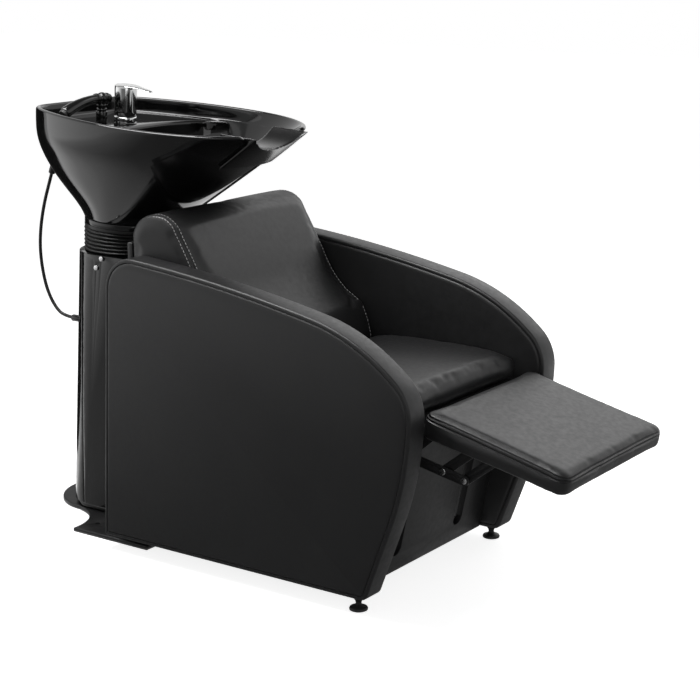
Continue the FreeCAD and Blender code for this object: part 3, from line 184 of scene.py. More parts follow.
def through_rings(name, rings, closed_start=False, closed_end=False):
    """A skin through rings of points, all with the same count."""
    count = len(rings[0])
    points = [point for ring in rings for point in ring]
    faces = []
    for ring in range(len(rings) - 1):
        for step in range(count):
            after = (step + 1) % count
            faces.append((ring * count + step, ring * count + after,
                          (ring + 1) * count + after, (ring + 1) * count + step))
    if closed_start:
        faces.append(tuple(reversed(range(count))))
    if closed_end:
        faces.append(tuple(range((len(rings) - 1) * count, len(rings) * count)))
    mesh = bpy.data.meshes.new(name)
    mesh.from_pydata([tuple(point) for point in points], [], faces)
    piece = bpy.data.objects.new(name, mesh)
    scene.collection.objects.link(piece)
    in_edit(piece)
    bpy.ops.mesh.normals_make_consistent(inside=False)
    out_of_edit()
    return piece


def welded(piece):
    """Merge the points where a skin's last ring meets its first."""
    in_edit(piece)
    bpy.ops.mesh.remove_doubles(threshold=1e-6)
    bpy.ops.mesh.normals_make_consistent(inside=False)
    out_of_edit()
    return piece


def circle(centre_x, centre_y, radius, height, count):
    """Points of a level circle."""
    turns = [2 * math.pi * step / count for step in range(count)]
    return [Vector((centre_x + radius * math.cos(turn), centre_y + radius * math.sin(turn), height))
            for turn in turns]


def turned(name, centre, profile, count=64):
    """A closed piece turned about an upright axis through (radius, height) pairs."""
    rings = [circle(*centre, radius, height, count) for radius, height in profile]
    return through_rings(name, rings, True, True)


def ball_at(name, place, radius, segments):
    bpy.ops.object.select_all(action="DESELECT")
    bpy.ops.mesh.primitive_uv_sphere_add(segments=segments, ring_count=24, radius=radius, location=place)
    return added(name)


def joined(name, pieces):
    """Several pieces as one object."""
    bpy.ops.object.select_all(action="DESELECT")
    for piece in pieces:
        piece.select_set(True)
    bpy.context.view_layer.objects.active = pieces[0]
    bpy.ops.object.join()
    pieces[0].name = name
    pieces[0].data.name = name
    return pieces[0]


# Materials
def mapped(tree, source, start, end, low, high):
    node = tree.nodes.new("ShaderNodeMapRange")
    for field, value in (("From Min", start), ("From Max", end), ("To Min", low), ("To Max", high)):
        node.inputs[field].default_value = value
    tree.links.new(source, node.inputs["Value"])
    return node.outputs["Result"]


def combined(tree, operation, first, second):
    node = tree.nodes.new("ShaderNodeMath")
    node.operation = operation
    tree.links.new(first, node.inputs[0])
    tree.links.new(second, node.inputs[1])
    return node.outputs[0]


class Finish:
    """A principled material with a small node tree that is wired by name."""

    def __init__(self, name, color, roughness, metallic=0.0, specular=0.5):
        self.material = bpy.data.materials.new(name)
        self.material.use_nodes = True
        self.tree = self.material.node_tree
        self.nodes, self.links = self.tree.nodes, self.tree.links
        self.shader = self.nodes["Principled BSDF"]
        self.set(self.shader, {"Base Color": (*color, 1), "Roughness": roughness, "Metallic": metallic,
                               "Specular IOR Level": specular})
        self.place = self.nodes.new("ShaderNodeTexCoord").outputs["Object"]

    def set(self, node, values):
        for socket, value in values.items():
            node.inputs[socket].default_value = value

    def texture(self, kind, output, **values):
        node = self.nodes.new(kind)
        self.links.new(self.place, node.inputs["Vector"])
        self.set(node, values)
        return node.outputs[output]

    def noise(self, scale, detail):
        return self.texture("ShaderNodeTexNoise", "Fac", Scale=scale, Detail=detail)

    def tint(self, source, low, high, dark, light):
        """Colour that runs from dark to light as the source runs from low to high."""
        node = self.nodes.new("ShaderNodeValToRGB")
        node.color_ramp.elements[0].position = low
        node.color_ramp.elements[0].color = (*dark, 1)
        node.color_ramp.elements[1].position = high
        node.color_ramp.elements[1].color = (*light, 1)
        self.links.new(source, node.inputs["Fac"])
        self.links.new(node.outputs["Color"], self.shader.inputs["Base Color"])

    def rough(self, source, low, high, smooth_side, rough_side):
        level = mapped(self.tree, source, low, high, smooth_side, rough_side)
        self.links.new(level, self.shader.inputs["Roughness"])

    def math(self, operation, first, second=None):
        """Arithmetic on a socket and a number, or on one socket alone."""
        node = self.nodes.new("ShaderNodeMath")
        node.operation = operation
        self.links.new(first, node.inputs[0])
        if second is not None:
            node.inputs[1].default_value = second
        return node.outputs[0]

    def groove(self, turn, axis, mirrored, place):
        """Height that drops in a thin line where a turned coordinate has a value."""
        turned = self.nodes.new("ShaderNodeVectorRotate")
        turned.rotation_type = "X_AXIS"
        turned.inputs["Center"].default_value = HINGE
        turned.inputs["Angle"].default_value = turn
        self.links.new(self.place, turned.inputs["Vector"])
        split = self.nodes.new("ShaderNodeSeparateXYZ")
        self.links.new(turned.outputs["Vector"], split.inputs["Vector"])
        along = split.outputs[axis]
        if mirrored:
            along = self.math("ABSOLUTE", along)
        away = self.math("ABSOLUTE", self.math("SUBTRACT", along, place))
        return mapped(self.tree, away, 0.0004, 0.0030, 0.0, 1.0)

    def bump(self, source, strength, distance, under=None):
        node = self.nodes.new("ShaderNodeBump")
        self.set(node, {"Strength": strength, "Distance": distance})
        self.links.new(source, node.inputs["Height"])
        if under:
            self.links.new(under.outputs["Normal"], node.inputs["Normal"])
        self.links.new(node.outputs["Normal"], self.shader.inputs["Normal"])
        return node


def grey(level, blue=0.0):
    """A grey, or one with a little more blue."""
    return level, level, level + blue


def leatherette_finish(name, dark, light, seams=()):
    """Coated fabric: pebbled grain, soft creasing, uneven gloss, and sewn grooves where seams lie."""
    finish = Finish(name, dark, 0.42, specular=0.36)
    cloudy = finish.noise(6.0, 3.0)
    finish.tint(cloudy, 0.3, 0.7, dark, light)
    pebble = finish.texture("ShaderNodeTexVoronoi", "Distance", Scale=620.0, Randomness=0.9)
    crease = finish.noise(90.0, 4.0)
    finish.rough(crease, 0.3, 0.7, 0.38, 0.48)
    last = finish.bump(crease, 0.06, 0.0006)
    last = finish.bump(pebble, 0.16, 0.0003, under=last)
    for turn, axis, mirrored, place in seams:
        last = finish.bump(finish.groove(turn, axis, mirrored, place), 0.9, 0.0035, under=last)
    return finish.material


def gloss_finish(name, dark, light, roughness=0.05, specular=0.45):
    """Black glaze or moulding: near mirror, with a faint ripple and dust in the gloss."""
    finish = Finish(name, dark, roughness, specular=specular)
    cloudy = finish.noise(14.0, 3.0)
    finish.tint(cloudy, 0.35, 0.65, dark, light)
    finish.rough(cloudy, 0.35, 0.7, roughness, roughness + 0.03)
    ripple = finish.noise(22.0, 1.0)
    finish.bump(ripple, 0.012, 0.001)
    return finish.material


def chrome_finish():
    finish = Finish("chrome_plate", (0.52, 0.53, 0.53), 0.08, metallic=1.0)
    cloudy = finish.noise(60.0, 4.0)
    finish.tint(cloudy, 0.3, 0.7, (0.48, 0.49, 0.49), (0.56, 0.56, 0.56))
    finish.rough(cloudy, 0.3, 0.75, 0.06, 0.12)
    return finish.material


def coated_steel_finish(name, dark, light):
    """Powder coat with its orange-peel skin."""
    finish = Finish(name, dark, 0.4, specular=0.4)
    cloudy = finish.noise(30.0, 4.0)
    finish.tint(cloudy, 0.3, 0.7, dark, light)
    peel = finish.noise(700.0, 2.0)
    finish.rough(cloudy, 0.3, 0.7, 0.34, 0.46)
    finish.bump(peel, 0.12, 0.0004)
    return finish.material


def bright_steel_finish():
    finish = Finish("zinc_plate", grey(0.62, 0.01), 0.28, metallic=1.0)
    cloudy = finish.noise(260.0, 3.0)
    finish.tint(cloudy, 0.3, 0.7, grey(0.5, 0.01), grey(0.7))
    finish.rough(cloudy, 0.3, 0.7, 0.22, 0.36)
    return finish.material


def rubber_finish(name, dark, light, roughness):
    finish = Finish(name, dark, roughness, specular=0.35)
    cloudy = finish.noise(40.0, 4.0)
    finish.tint(cloudy, 0.3, 0.7, dark, light)
    grain = finish.noise(900.0, 2.0)
    finish.rough(cloudy, 0.3, 0.7, roughness - 0.06, roughness + 0.08)
    finish.bump(grain, 0.1, 0.0003)
    return finish.material


def lining_finish():
    """Black felted lining over the boards."""
    finish = Finish("black_lining", grey(0.010, 0.0005), 0.8, specular=0.2)
    felt = finish.noise(420.0, 5.0)
    finish.tint(felt, 0.3, 0.7, grey(0.008, 0.0005), grey(0.014, 0.0005))
    finish.bump(felt, 0.25, 0.0006)
    return finish.material


def brass_finish():
    finish = Finish("plain_brass", (0.68, 0.5, 0.22), 0.3, metallic=1.0)
    cloudy = finish.noise(120.0, 3.0)
    finish.tint(cloudy, 0.3, 0.7, (0.6, 0.43, 0.18), (0.72, 0.55, 0.26))
    return finish.material


COVER_DARK, COVER_LIGHT = grey(0.0120, 0.0006), grey(0.0150, 0.0006)
BACK_SEAM = 0.2295
LEATHERETTE = leatherette_finish("leatherette", COVER_DARK, COVER_LIGHT)
BACK_COVER = leatherette_finish("backrest_cover", COVER_DARK, COVER_LIGHT, [(0.0, "X", True, BACK_SEAM)])
BASIN_GLOSS = gloss_finish("basin_glaze", grey(0.0035, 0.0002), grey(0.005, 0.0002))
COVER_GLOSS = gloss_finish("column_gloss", grey(0.004, 0.0002), grey(0.006, 0.0002), 0.08)
SHOWER_GLOSS = gloss_finish("shower_gloss", grey(0.006), grey(0.009), 0.12)
NECK_GEL = gloss_finish("neck_gel", grey(0.006), grey(0.009), 0.2, 0.4)
CHROME = chrome_finish()
FRAME_COAT = coated_steel_finish("frame_coat", grey(0.012, 0.0005), grey(0.016, 0.0005))
LINK_COAT = coated_steel_finish("link_coat", grey(0.014, 0.0005), grey(0.019, 0.0005))
BRIGHT_STEEL = bright_steel_finish()
BLACK_RUBBER = rubber_finish("black_rubber", grey(0.008), grey(0.012), 0.42)
GLIDE_PLASTIC = rubber_finish("glide_plastic", grey(0.01), grey(0.014), 0.5)
SPRAY_GREY = rubber_finish("spray_grey", grey(0.035), grey(0.05), 0.5)
PIPE_GREY = rubber_finish("pipe_grey", grey(0.42), grey(0.5), 0.45)
BRASS = brass_finish()
THREAD = rubber_finish("thread", grey(0.50), grey(0.62), 0.6)
LINING = lining_finish()

# Rigid nodes whose shape is right get a finish and edges eased by a width
EASED = (
    (FRAME_COAT, 0.0012, ("base_plate",)),
    (FRAME_COAT, 0.001, ("plate_spacers",)),
    (FRAME_COAT, 0.0008, ("mast", "tilt_yoke", "bowl_carrier", "front_rail", "rear_rail", "bottom_rail",
                          "mechanism_beam")),
    (COVER_GLOSS, 0.004, ("foot_ring",)),
    (COVER_GLOSS, 0.0009, ("column_front_cover", "column_rear_cover")),
    (COVER_GLOSS, 0.003, ("column_cap",)),
    (COVER_GLOSS, 0.002, ("bellows_collar",)),
    (BRIGHT_STEEL, 0.0008, ("column_screws",)),
    (LINK_COAT, 0.0006, ("side_plates", "legrest_brackets", "crank_links", "front_couplers", "rear_couplers")),
    (LINK_COAT, 0.001, ("torque_shaft",)),
    (BRIGHT_STEEL, 0.0008, ("hinge_rivets", "bracket_rivets", "crank_rivets", "tilt_pin")),
    (BRIGHT_STEEL, 0.0005, ("foot_inserts",)),
    (LINING, 0.001, ("seat_board",)),
    (LEATHERETTE, 0.003, ("back_board",)),
    (BRASS, 0.0005, ("drain_tailpiece",)),
    (BRASS, 0.0008, ("tap_nut",)),
    (PIPE_GREY, 0.0005, ("waste_pipe",)),
    (CHROME, 0.0005, ("drain_strainer",)),
    (CHROME, 0.0015, ("tap_base_ring",)),
    (SHOWER_GLOSS, 0.0012, ("shower_sleeve",)),
    (SHOWER_GLOSS, 0.0015, ("bowl_hose_gland", "column_hose_gland")),
)
for material, width, members in EASED:
    for node in members:
        eased(node, material, width)


def waste_hose():
    """Soft hose from the fixed pipe to the bowl's drain."""
    piece = copy_of("waste_hose", "waste_hose_finish")
    smooth(piece, 40)
    dress(piece, None, BLACK_RUBBER, slots_of["waste_hose"], "waste_hose")
    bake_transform(piece)


waste_hose()


# Stitches: short rounded threads laid along points on a surface
STITCH_LENGTH, STITCH_THICKNESS, STITCH_PITCH = 0.0068, 0.0019, 0.0084


def stitch_row(name, points, body, normals):
    """Threads along a line of points, each half sunk in the cover."""
    bpy.ops.object.select_all(action="DESELECT")
    bpy.ops.mesh.primitive_uv_sphere_add(segments=6, ring_count=4, radius=0.5)
    pattern = added(name + "_pattern")
    pieces = []
    size = Matrix.Diagonal((STITCH_LENGTH, STITCH_THICKNESS, STITCH_THICKNESS, 1))
    travelled, target = 0.0, STITCH_PITCH / 2
    for start, stop, normal in zip(points, points[1:], normals):
        run = stop - start
        while run.length > 0 and target <= travelled + run.length:
            centre = start + run * ((target - travelled) / run.length)
            along = run.normalized()
            across = normal.cross(along).normalized()
            turn = Matrix((along, across, along.cross(across))).transposed().to_4x4()
            pieces.append(Matrix.Translation(centre) @ turn @ size)
            target += STITCH_PITCH
        travelled += run.length
    mesh = bmesh.new()
    for place in pieces:
        thread = pattern.data.copy()
        thread.transform(place)
        mesh.from_mesh(thread)
        bpy.data.meshes.remove(thread)
    row = bpy.data.objects.new(name, bpy.data.meshes.new(name))
    mesh.to_mesh(row.data)
    mesh.free()
    scene.collection.objects.link(row)
    bpy.data.objects.remove(pattern)
    smooth(row, 60)
    dress(row, body, THREAD, "leatherette")


# Upholstered armrests: a band all round between two stitched panels
ARM_INNER, ARM_OUTER = 0.242, 0.300
REAR_LEAN, SHIN_TURN = 2.6, 110.5
ARM_REAR_Y, ARM_REAR_Z, ARM_BOTTOM, TOE_ROUND = -0.136, 0.612, 0.033, 0.020
# Radius, direction before and after in degrees, and steps of each arc
ARM_ARCS = (
    (0.0756, REAR_LEAN - 90, 4.5, 14), (3.77, 4.5, 11.9, 20), (0.45, 11.9, 42, 16), (0.104, 42, 92, 14),
    (0.722, 92, SHIN_TURN, 12),
)
# Width and depth of the steps from the band's edge over the panel's sewn line
PANEL_STEPS = ((0.0030, 0.0), (0.0011, -0.0017), (0.0011, 0.0017), (0.003, 0.0012), (0.0035, 0.0009))


def arm_outline():
    """Outline of the armrest in y and z, from the rear round to the toe."""
    y, z = ARM_REAR_Y, ARM_REAR_Z
    outline = [(y + (z - ARM_BOTTOM) * math.tan(math.radians(REAR_LEAN)), ARM_BOTTOM), (y, z)]
    for radius, before, after, steps in ARM_ARCS:
        for step in range(1, steps + 1):
            here = math.radians(before + (after - before) * step / steps)
            there = math.radians(before)
            outline.append((y + radius * (math.sin(there) - math.sin(here)),
                            z + radius * (math.cos(here) - math.cos(there))))
        y, z = outline[-1]
    shin = math.radians(SHIN_TURN - 90)
    toe = y + (z - ARM_BOTTOM) * math.tan(shin)
    middle = (toe + TOE_ROUND / math.tan(math.radians(SHIN_TURN / 2)), ARM_BOTTOM + TOE_ROUND)
    for step in range(9):
        turn = math.pi + shin + (math.pi / 2 - shin) * step / 8
        outline.append((middle[0] + TOE_ROUND * math.cos(turn), middle[1] + TOE_ROUND * math.sin(turn)))
    return outline


def upholstered_arm(hand, side):
    outline = arm_outline()
    mesh = bpy.data.meshes.new(hand + "_arm")
    mesh.from_pydata([(side * ARM_INNER, y, z) for y, z in outline], [], [tuple(range(len(outline)))])
    arm = bpy.data.objects.new(hand + "_arm", mesh)
    scene.collection.objects.link(arm)
    in_edit(arm)
    bpy.ops.mesh.extrude_region_move(TRANSFORM_OT_translate={"value": (side * (ARM_OUTER - ARM_INNER), 0, 0)})
    bpy.ops.mesh.select_all(action="SELECT")
    bpy.ops.mesh.normals_make_consistent(inside=False)
    out_of_edit()
    bevelled(arm, 0.0055, 4, 40)
    for way in (-1, 1):
        in_edit(arm)
        bpy.ops.mesh.select_all(action="DESELECT")
        edit = bmesh.from_edit_mesh(arm.data)
        flat = [face for face in edit.faces if face.normal.x * way > 0.99]
        panel = max(flat, key=lambda face: face.calc_area())
        panel.select_set(True)
        edit.select_flush(True)
        bmesh.update_edit_mesh(arm.data)
        for width, depth in PANEL_STEPS:
            bpy.ops.mesh.inset(thickness=width, depth=depth, use_boundary=True, use_even_offset=True)
        out_of_edit()
    smooth(arm, 50)
    dress(arm, "base", LEATHERETTE, "leatherette", f"{hand}_arm_outer_pad", f"{hand}_arm_frame",
          f"{hand}_arm_inner_pad")


for hand, side in (("right", -1), ("left", 1)):
    upholstered_arm(hand, side)


# Plumped cushions
SWELL_FRAMES = 18
CLOTH = {"use_pressure": True, "quality": 4, "tension_stiffness": 18, "compression_stiffness": 18,
         "bending_stiffness": 0.6}


def plumped(piece, stands_for, body, cover, voxel, cap, shrink, pressure):
    """A cushion swollen by cloth pressure from a slightly smaller shape, by no more than a cap."""
    apply(piece, "REMESH", mode="VOXEL", voxel_size=voxel)
    apply(piece, "SMOOTH", factor=0.5, iterations=6)
    in_edit(piece)
    bpy.ops.transform.shrink_fatten(value=-shrink)
    out_of_edit()
    rest = [vertex.co.copy() for vertex in piece.data.vertices]
    select_only(piece)
    cloth = piece.modifiers.new("Swell", "CLOTH")
    for setting, value in CLOTH.items():
        setattr(cloth.settings, setting, value)
    cloth.settings.uniform_pressure_force = pressure
    cloth.settings.effector_weights.gravity = 0
    for step in range(SWELL_FRAMES):
        scene.frame_set(step + 1)
    bpy.ops.object.modifier_apply(modifier=cloth.name)
    scene.frame_set(1)
    for vertex, start in zip(piece.data.vertices, rest):
        move = vertex.co - start
        if move.length > cap:
            vertex.co = start + move.normalized() * cap
    apply(piece, "SMOOTH", factor=0.5, iterations=4)
    apply(piece, "SUBSURF", levels=1, render_levels=1)
    smooth(piece, 80)
    dress(piece, body, cover, "leatherette", *stands_for)
    return piece


# Points of the backrest's profile in y and z, with the radius of the arc to the next
BACK_PROFILE = (
    (-0.156, 0.720, 0.068), (-0.220, 0.778, 0.070), (-0.294, 0.750, 1.2), (-0.365, 0.629, -0.21),
    (-0.466, 0.532, 0.26),
)
BACK_HALF, BACK_BOTTOM_Y = 0.2395, -0.497


def back_outline():
    """Backrest profile in y and z: arcs between its points, bulged where the radius is positive."""
    low = min(vertex.co.z for vertex in nodes["backrest_cushion"].data.vertices)
    outline = [(BACK_BOTTOM_Y, low), (BACK_PROFILE[0][0], low)]
    ends = list(BACK_PROFILE[1:]) + [(BACK_BOTTOM_Y, low, 0)]
    for (y, z, radius), (after_y, after_z, _) in zip(BACK_PROFILE, ends):
        start, chord = Vector((y, z)), Vector((after_y - y, after_z - z))
        out = Vector((chord.y, -chord.x)).normalized() * math.copysign(1, radius)
        depth = math.sqrt(radius ** 2 - chord.length_squared / 4)
        centre = start + chord / 2 - out * depth
        spread = math.asin(chord.length / 2 / abs(radius))
        for step in range(8):
            turn = spread * (step / 4 - 1)
            way = out * math.cos(turn) + chord.normalized() * math.sin(turn)
            outline.append(tuple(centre + way * abs(radius)))
    return outline


def back_block():
    outline = back_outline()
    rings = [[Vector((x, y, z)) for y, z in outline] for x in (-BACK_HALF, BACK_HALF)]
    piece = through_rings("backrest_pad", rings, True, True)
    return bevelled(piece, 0.009, 4, 60)


LEGREST_ROUND, LEGREST_CROWN, LEGREST_RISE, LEGREST_DROP = 0.026, 0.003, 0.013, 0.003
LEGREST_SEAMS = (0.0085, 0.0145)
# Inset and distance from the slab's bottom or top, for the rings up its lower and upper edges
LOWER_EDGE = ((0.008, 0.0), (0.003, 0.0015), (0.0, 0.006))
UPPER_EDGE = ((0.0, 0.016), (0.0015, 0.009), (0.005, 0.004), (0.011, 0.0012), (0.020, 0.0))


def slab_ring(low, high, inset, z):
    """Ring round a slab with rounded corners, drawn in by an inset."""
    ring = []
    radius = LEGREST_ROUND - inset
    for x, y, start in ((high.x, high.y, 0), (low.x, high.y, 90), (low.x, low.y, 180), (high.x, low.y, 270)):
        middle_x = x - math.copysign(LEGREST_ROUND, x)
        middle_y = y - LEGREST_ROUND if y == high.y else y + LEGREST_ROUND
        for step in range(9):
            turn = math.radians(start + 90 * step / 8)
            ring.append(Vector((middle_x + radius * math.cos(turn), middle_y + radius * math.sin(turn), z)))
    return ring


def legrest_block():
    """Slab round the legrest's cushion and board, its top's extra slope, and that top's height at the hinge."""
    level = Matrix.Rotation(-SLOPE, 3, "X")
    places = [level @ (vertex.co - HINGE) for node in ("legrest_cushion", "legrest_board")
              for vertex in nodes[node].data.vertices]
    low = Vector([min(place[axis] for place in places) for axis in range(3)])
    high = Vector([max(place[axis] for place in places) for axis in range(3)])
    high.z += LEGREST_CROWN
    length = high.y - low.y
    lower = [slab_ring(low, high, inset, low.z + height) for inset, height in LOWER_EDGE]
    upper = [slab_ring(low, high, inset, high.z - depth) for inset, depth in UPPER_EDGE]
    for ring in upper:
        for place in ring:
            place.z += LEGREST_RISE * (place.y - low.y) / length - LEGREST_DROP
    wedge = math.atan(LEGREST_RISE / length)
    crown = HINGE.z + high.z - LEGREST_DROP - low.y * math.tan(wedge)
    return slope(through_rings("legrest_pad", lower + upper, True, True)), wedge, crown


plumped(copy_of("seat_cushion", "seat_pad"), ["seat_cushion"], "base", LEATHERETTE, voxel=0.006, cap=0.012,
        shrink=0.004, pressure=3.0)
backrest = plumped(back_block(), ["backrest_cushion"], "base", BACK_COVER, voxel=0.006, cap=0.004,
                   shrink=0.0015, pressure=2.5)
legrest_shape, legrest_wedge, legrest_crown = legrest_block()
LEGREST_COVER = leatherette_finish("legrest_cover", COVER_DARK, COVER_LIGHT, [
    (-SLOPE - legrest_wedge, "Z", False, legrest_crown - depth) for depth in LEGREST_SEAMS])
plumped(legrest_shape, ["legrest_cushion", "legrest_board"], "legrest", LEGREST_COVER, voxel=0.005, cap=0.003,
        shrink=0.001, pressure=2.0)


def on_surface(piece, starts, ways):
    """Places and normals where lines from points along their ways meet a piece."""
    tree = BVHTree.FromObject(piece, bpy.context.evaluated_depsgraph_get())
    places, normals = [], []
    for start, way in zip(starts, ways):
        place, normal, _, _ = tree.ray_cast(start, way)
        if place is not None:
            places.append(place)
            normals.append(normal)
    return places, normals


def backrest_stitching():
    """A row of stitches on each side of the seams at the backrest's two front edges."""
    middle = Vector((0, -0.27, 0.60))
    for hand, side in (("right", -1), ("left", 1)):
        for word, offset in (("inner", -0.0052), ("outer", 0.0044)):
            starts, ways = [], []
            for step in range(61):
                turn = math.radians(245 - 170 * step / 60)
                way = Vector((0, math.cos(turn), math.sin(turn)))
                starts.append(Vector((side * (BACK_SEAM + offset), middle.y, middle.z)) + way * 0.5)
                ways.append(-way)
            places, normals = on_surface(backrest, starts, ways)
            stitch_row(f"{hand}_{word}_back_stitches", places, "base", normals)


backrest_stitching()


# Panels behind and in front of the seat
def clad_panel(node, name, width):
    piece = bevelled(flattened(node, name), width, 3, 30)
    smooth(piece, 45)
    dress(piece, "base", LEATHERETTE, "leatherette", node)


clad_panel("front_panel", "front_cladding", 0.002)
clad_panel("rear_panel", "rear_cladding", 0.003)


# Basin: rings from the neck up the flank, over the rim and the neck opening, and down into the bowl
RING = 120
NECK_Z, RIM_Z, DECK_Z, FLOOR_Z = 0.716, 0.971, 0.935, 0.803
NECK, RIM_FRONT, RIM_REAR, RIM_HALF, RIM_MIDDLE = 0.118, 0.442, 0.1905, 0.241, 0.140
WALL, LIP, LIP_ROUND = 0.014, 0.018, 0.006
NOTCH_ROUND, NOTCH_DEPTH = 0.157, 0.045
NOTCH_AXIS_Z = RIM_Z - NOTCH_DEPTH + NOTCH_ROUND
RISE_POWER, KNEE_LEVEL, KNEE_SOFTNESS = 0.96, 0.74, 0.02
FLOOR_FRONT, FLOOR_REAR, FLOOR_HALF, HOLLOW_REAR, DRAIN_SETBACK = 0.150, 0.034, 0.062, 0.008, 0.070
FLANK_SHARES = (0.006, 0.03, 0.08, 0.16, 0.25, 0.34, 0.43, 0.52, 0.60, 0.67, 0.74, 0.81, 0.88, 0.95, 1.0)


def egg_point(step, z, middle, front, rear, half, front_power, rear_power, taper):
    """One point of a plan curve that is widest at middle, with its own sharpness before and behind."""
    turn = 2 * math.pi * step / RING
    across, along = math.cos(turn), math.sin(turn)
    power = rear_power if along > 0 else front_power
    reach = (abs(across) ** power + abs(along) ** power) ** (-1 / power)
    across, along = across * reach, along * reach
    length = rear + middle if along > 0 else front - middle
    narrowing = 1 - taper * max(along, 0.0) ** 1.9
    return Vector((half * across * narrowing, TILT.y + along * length - middle, z))


def knee(share):
    """Swell of the flank: straight up to the knee, then level."""
    gap = share / KNEE_LEVEL - 1
    return 1 + (gap - math.sqrt(gap * gap + KNEE_SOFTNESS)) / 2


def level_of(z):
    return (z - NECK_Z) / (RIM_Z - NECK_Z)


def flank_point(step, level, inset=0.0, lift=0.0):
    """Point on the outer face of the basin at a share of its height, drawn in by an inset."""
    swell, rise = knee(level) / knee(1), max(0.0, level) ** RISE_POWER
    front = NECK + (RIM_FRONT - NECK) * rise - inset * LIP / WALL
    rear = NECK + (RIM_REAR - NECK) * swell - inset
    half = NECK + (RIM_HALF - NECK) * swell - inset
    return egg_point(step, NECK_Z + (RIM_Z - NECK_Z) * level + lift, RIM_MIDDLE * rise, front, rear, half,
                     2 + 0.3 * rise, 2 + 10 * swell ** 2, 0.34 * swell)


def over_notch(point):
    """Height of a point above the curve of the neck opening."""
    if point.y > TILT.y - 0.32 or abs(point.x) >= NOTCH_ROUND:
        return -1.0
    return point.z - (NOTCH_AXIS_Z - math.sqrt(NOTCH_ROUND ** 2 - point.x ** 2))


def lip_level(step):
    """Share of the height at which the flank ends in the rim or in the neck opening."""
    if over_notch(flank_point(step, 1.0)) <= 0:
        return 1.0
    low, high = 0.6, 1.0
    for _ in range(30):
        middle = (low + high) / 2
        if over_notch(flank_point(step, middle)) > 0:
            high = middle
        else:
            low = middle
    return low


LIP_LEVEL = [lip_level(step) for step in range(RING)]
LIP_Z = [NECK_Z + (RIM_Z - NECK_Z) * level for level in LIP_LEVEL]


def hollow_point(step, share):
    """Point on the bowl's inside at a share of its depth, from the floor up to the deck."""
    spread = 1 - max(0.0, 1 - share) ** 2.6
    rise, swell = level_of(DECK_Z) ** RISE_POWER, knee(level_of(DECK_Z)) / knee(1)
    deck_front = NECK + (RIM_FRONT - NECK) * rise - LIP
    deck_half = NECK + (RIM_HALF - NECK) * swell - LIP
    front = FLOOR_FRONT + (deck_front - FLOOR_FRONT) * share ** 0.8
    rear = FLOOR_REAR + (HOLLOW_REAR - FLOOR_REAR) * share
    middle = rear + (front - rear) * 0.4
    return egg_point(step, FLOOR_Z + (DECK_Z - FLOOR_Z) * share, middle, front, -rear,
                     FLOOR_HALF + (deck_half - FLOOR_HALF) * spread, 2 + 0.3 * rise, 3.0, 0.0)


def drain_ring(z, radius):
    front, rear = DRAIN_SETBACK + radius, radius - DRAIN_SETBACK
    return [egg_point(step, z, DRAIN_SETBACK, front, rear, radius, 2.0, 2.0, 0.0) for step in range(RING)]


def flank_ring(share):
    """Ring up the flank that is drawn down towards the lip where the neck opening lies."""
    ring = []
    for step in range(RING):
        top = LIP_LEVEL[step] - LIP_ROUND / (RIM_Z - NECK_Z)
        level = share if share < 0.55 else 0.55 + (share - 0.55) / 0.45 * (top - 0.55)
        ring.append(flank_point(step, level))
    return ring


def rim_ring(angle):
    """Ring over the rounded lip."""
    inset, lift = LIP_ROUND * (1 - math.cos(angle)), LIP_ROUND * math.sin(angle)
    return [flank_point(step, LIP_LEVEL[step] - LIP_ROUND / (RIM_Z - NECK_Z), inset, lift)
            for step in range(RING)]


def wall_ring(z, below_lip, inset):
    """Ring down the inside of the rim, kept below the lip."""
    return [flank_point(step, level_of(min(z, LIP_Z[step] - below_lip)), inset) for step in range(RING)]


def hollow_ring(share):
    ring = []
    for step in range(RING):
        limit = (LIP_Z[step] - 0.020 - FLOOR_Z) / (DECK_Z - FLOOR_Z)
        ring.append(hollow_point(step, share * min(1.0, limit)))
    return ring


def without_ledge(above, ledge, below):
    """Draw the ledge's rings onto a straight run in front, where wall and bowl meet without a shelf."""
    count = len(ledge) + 1
    drawn = []
    for index, ring in enumerate(ledge):
        points = []
        for step, point in enumerate(ring):
            front = min(1.0, max(0.0, (TILT.y - 0.01 - above[step].y) / 0.09))
            front = front * front * (3 - 2 * front)
            points.append(point.lerp(above[step].lerp(below[step], (index + 1) / count), front))
        drawn.append(points)
    return drawn


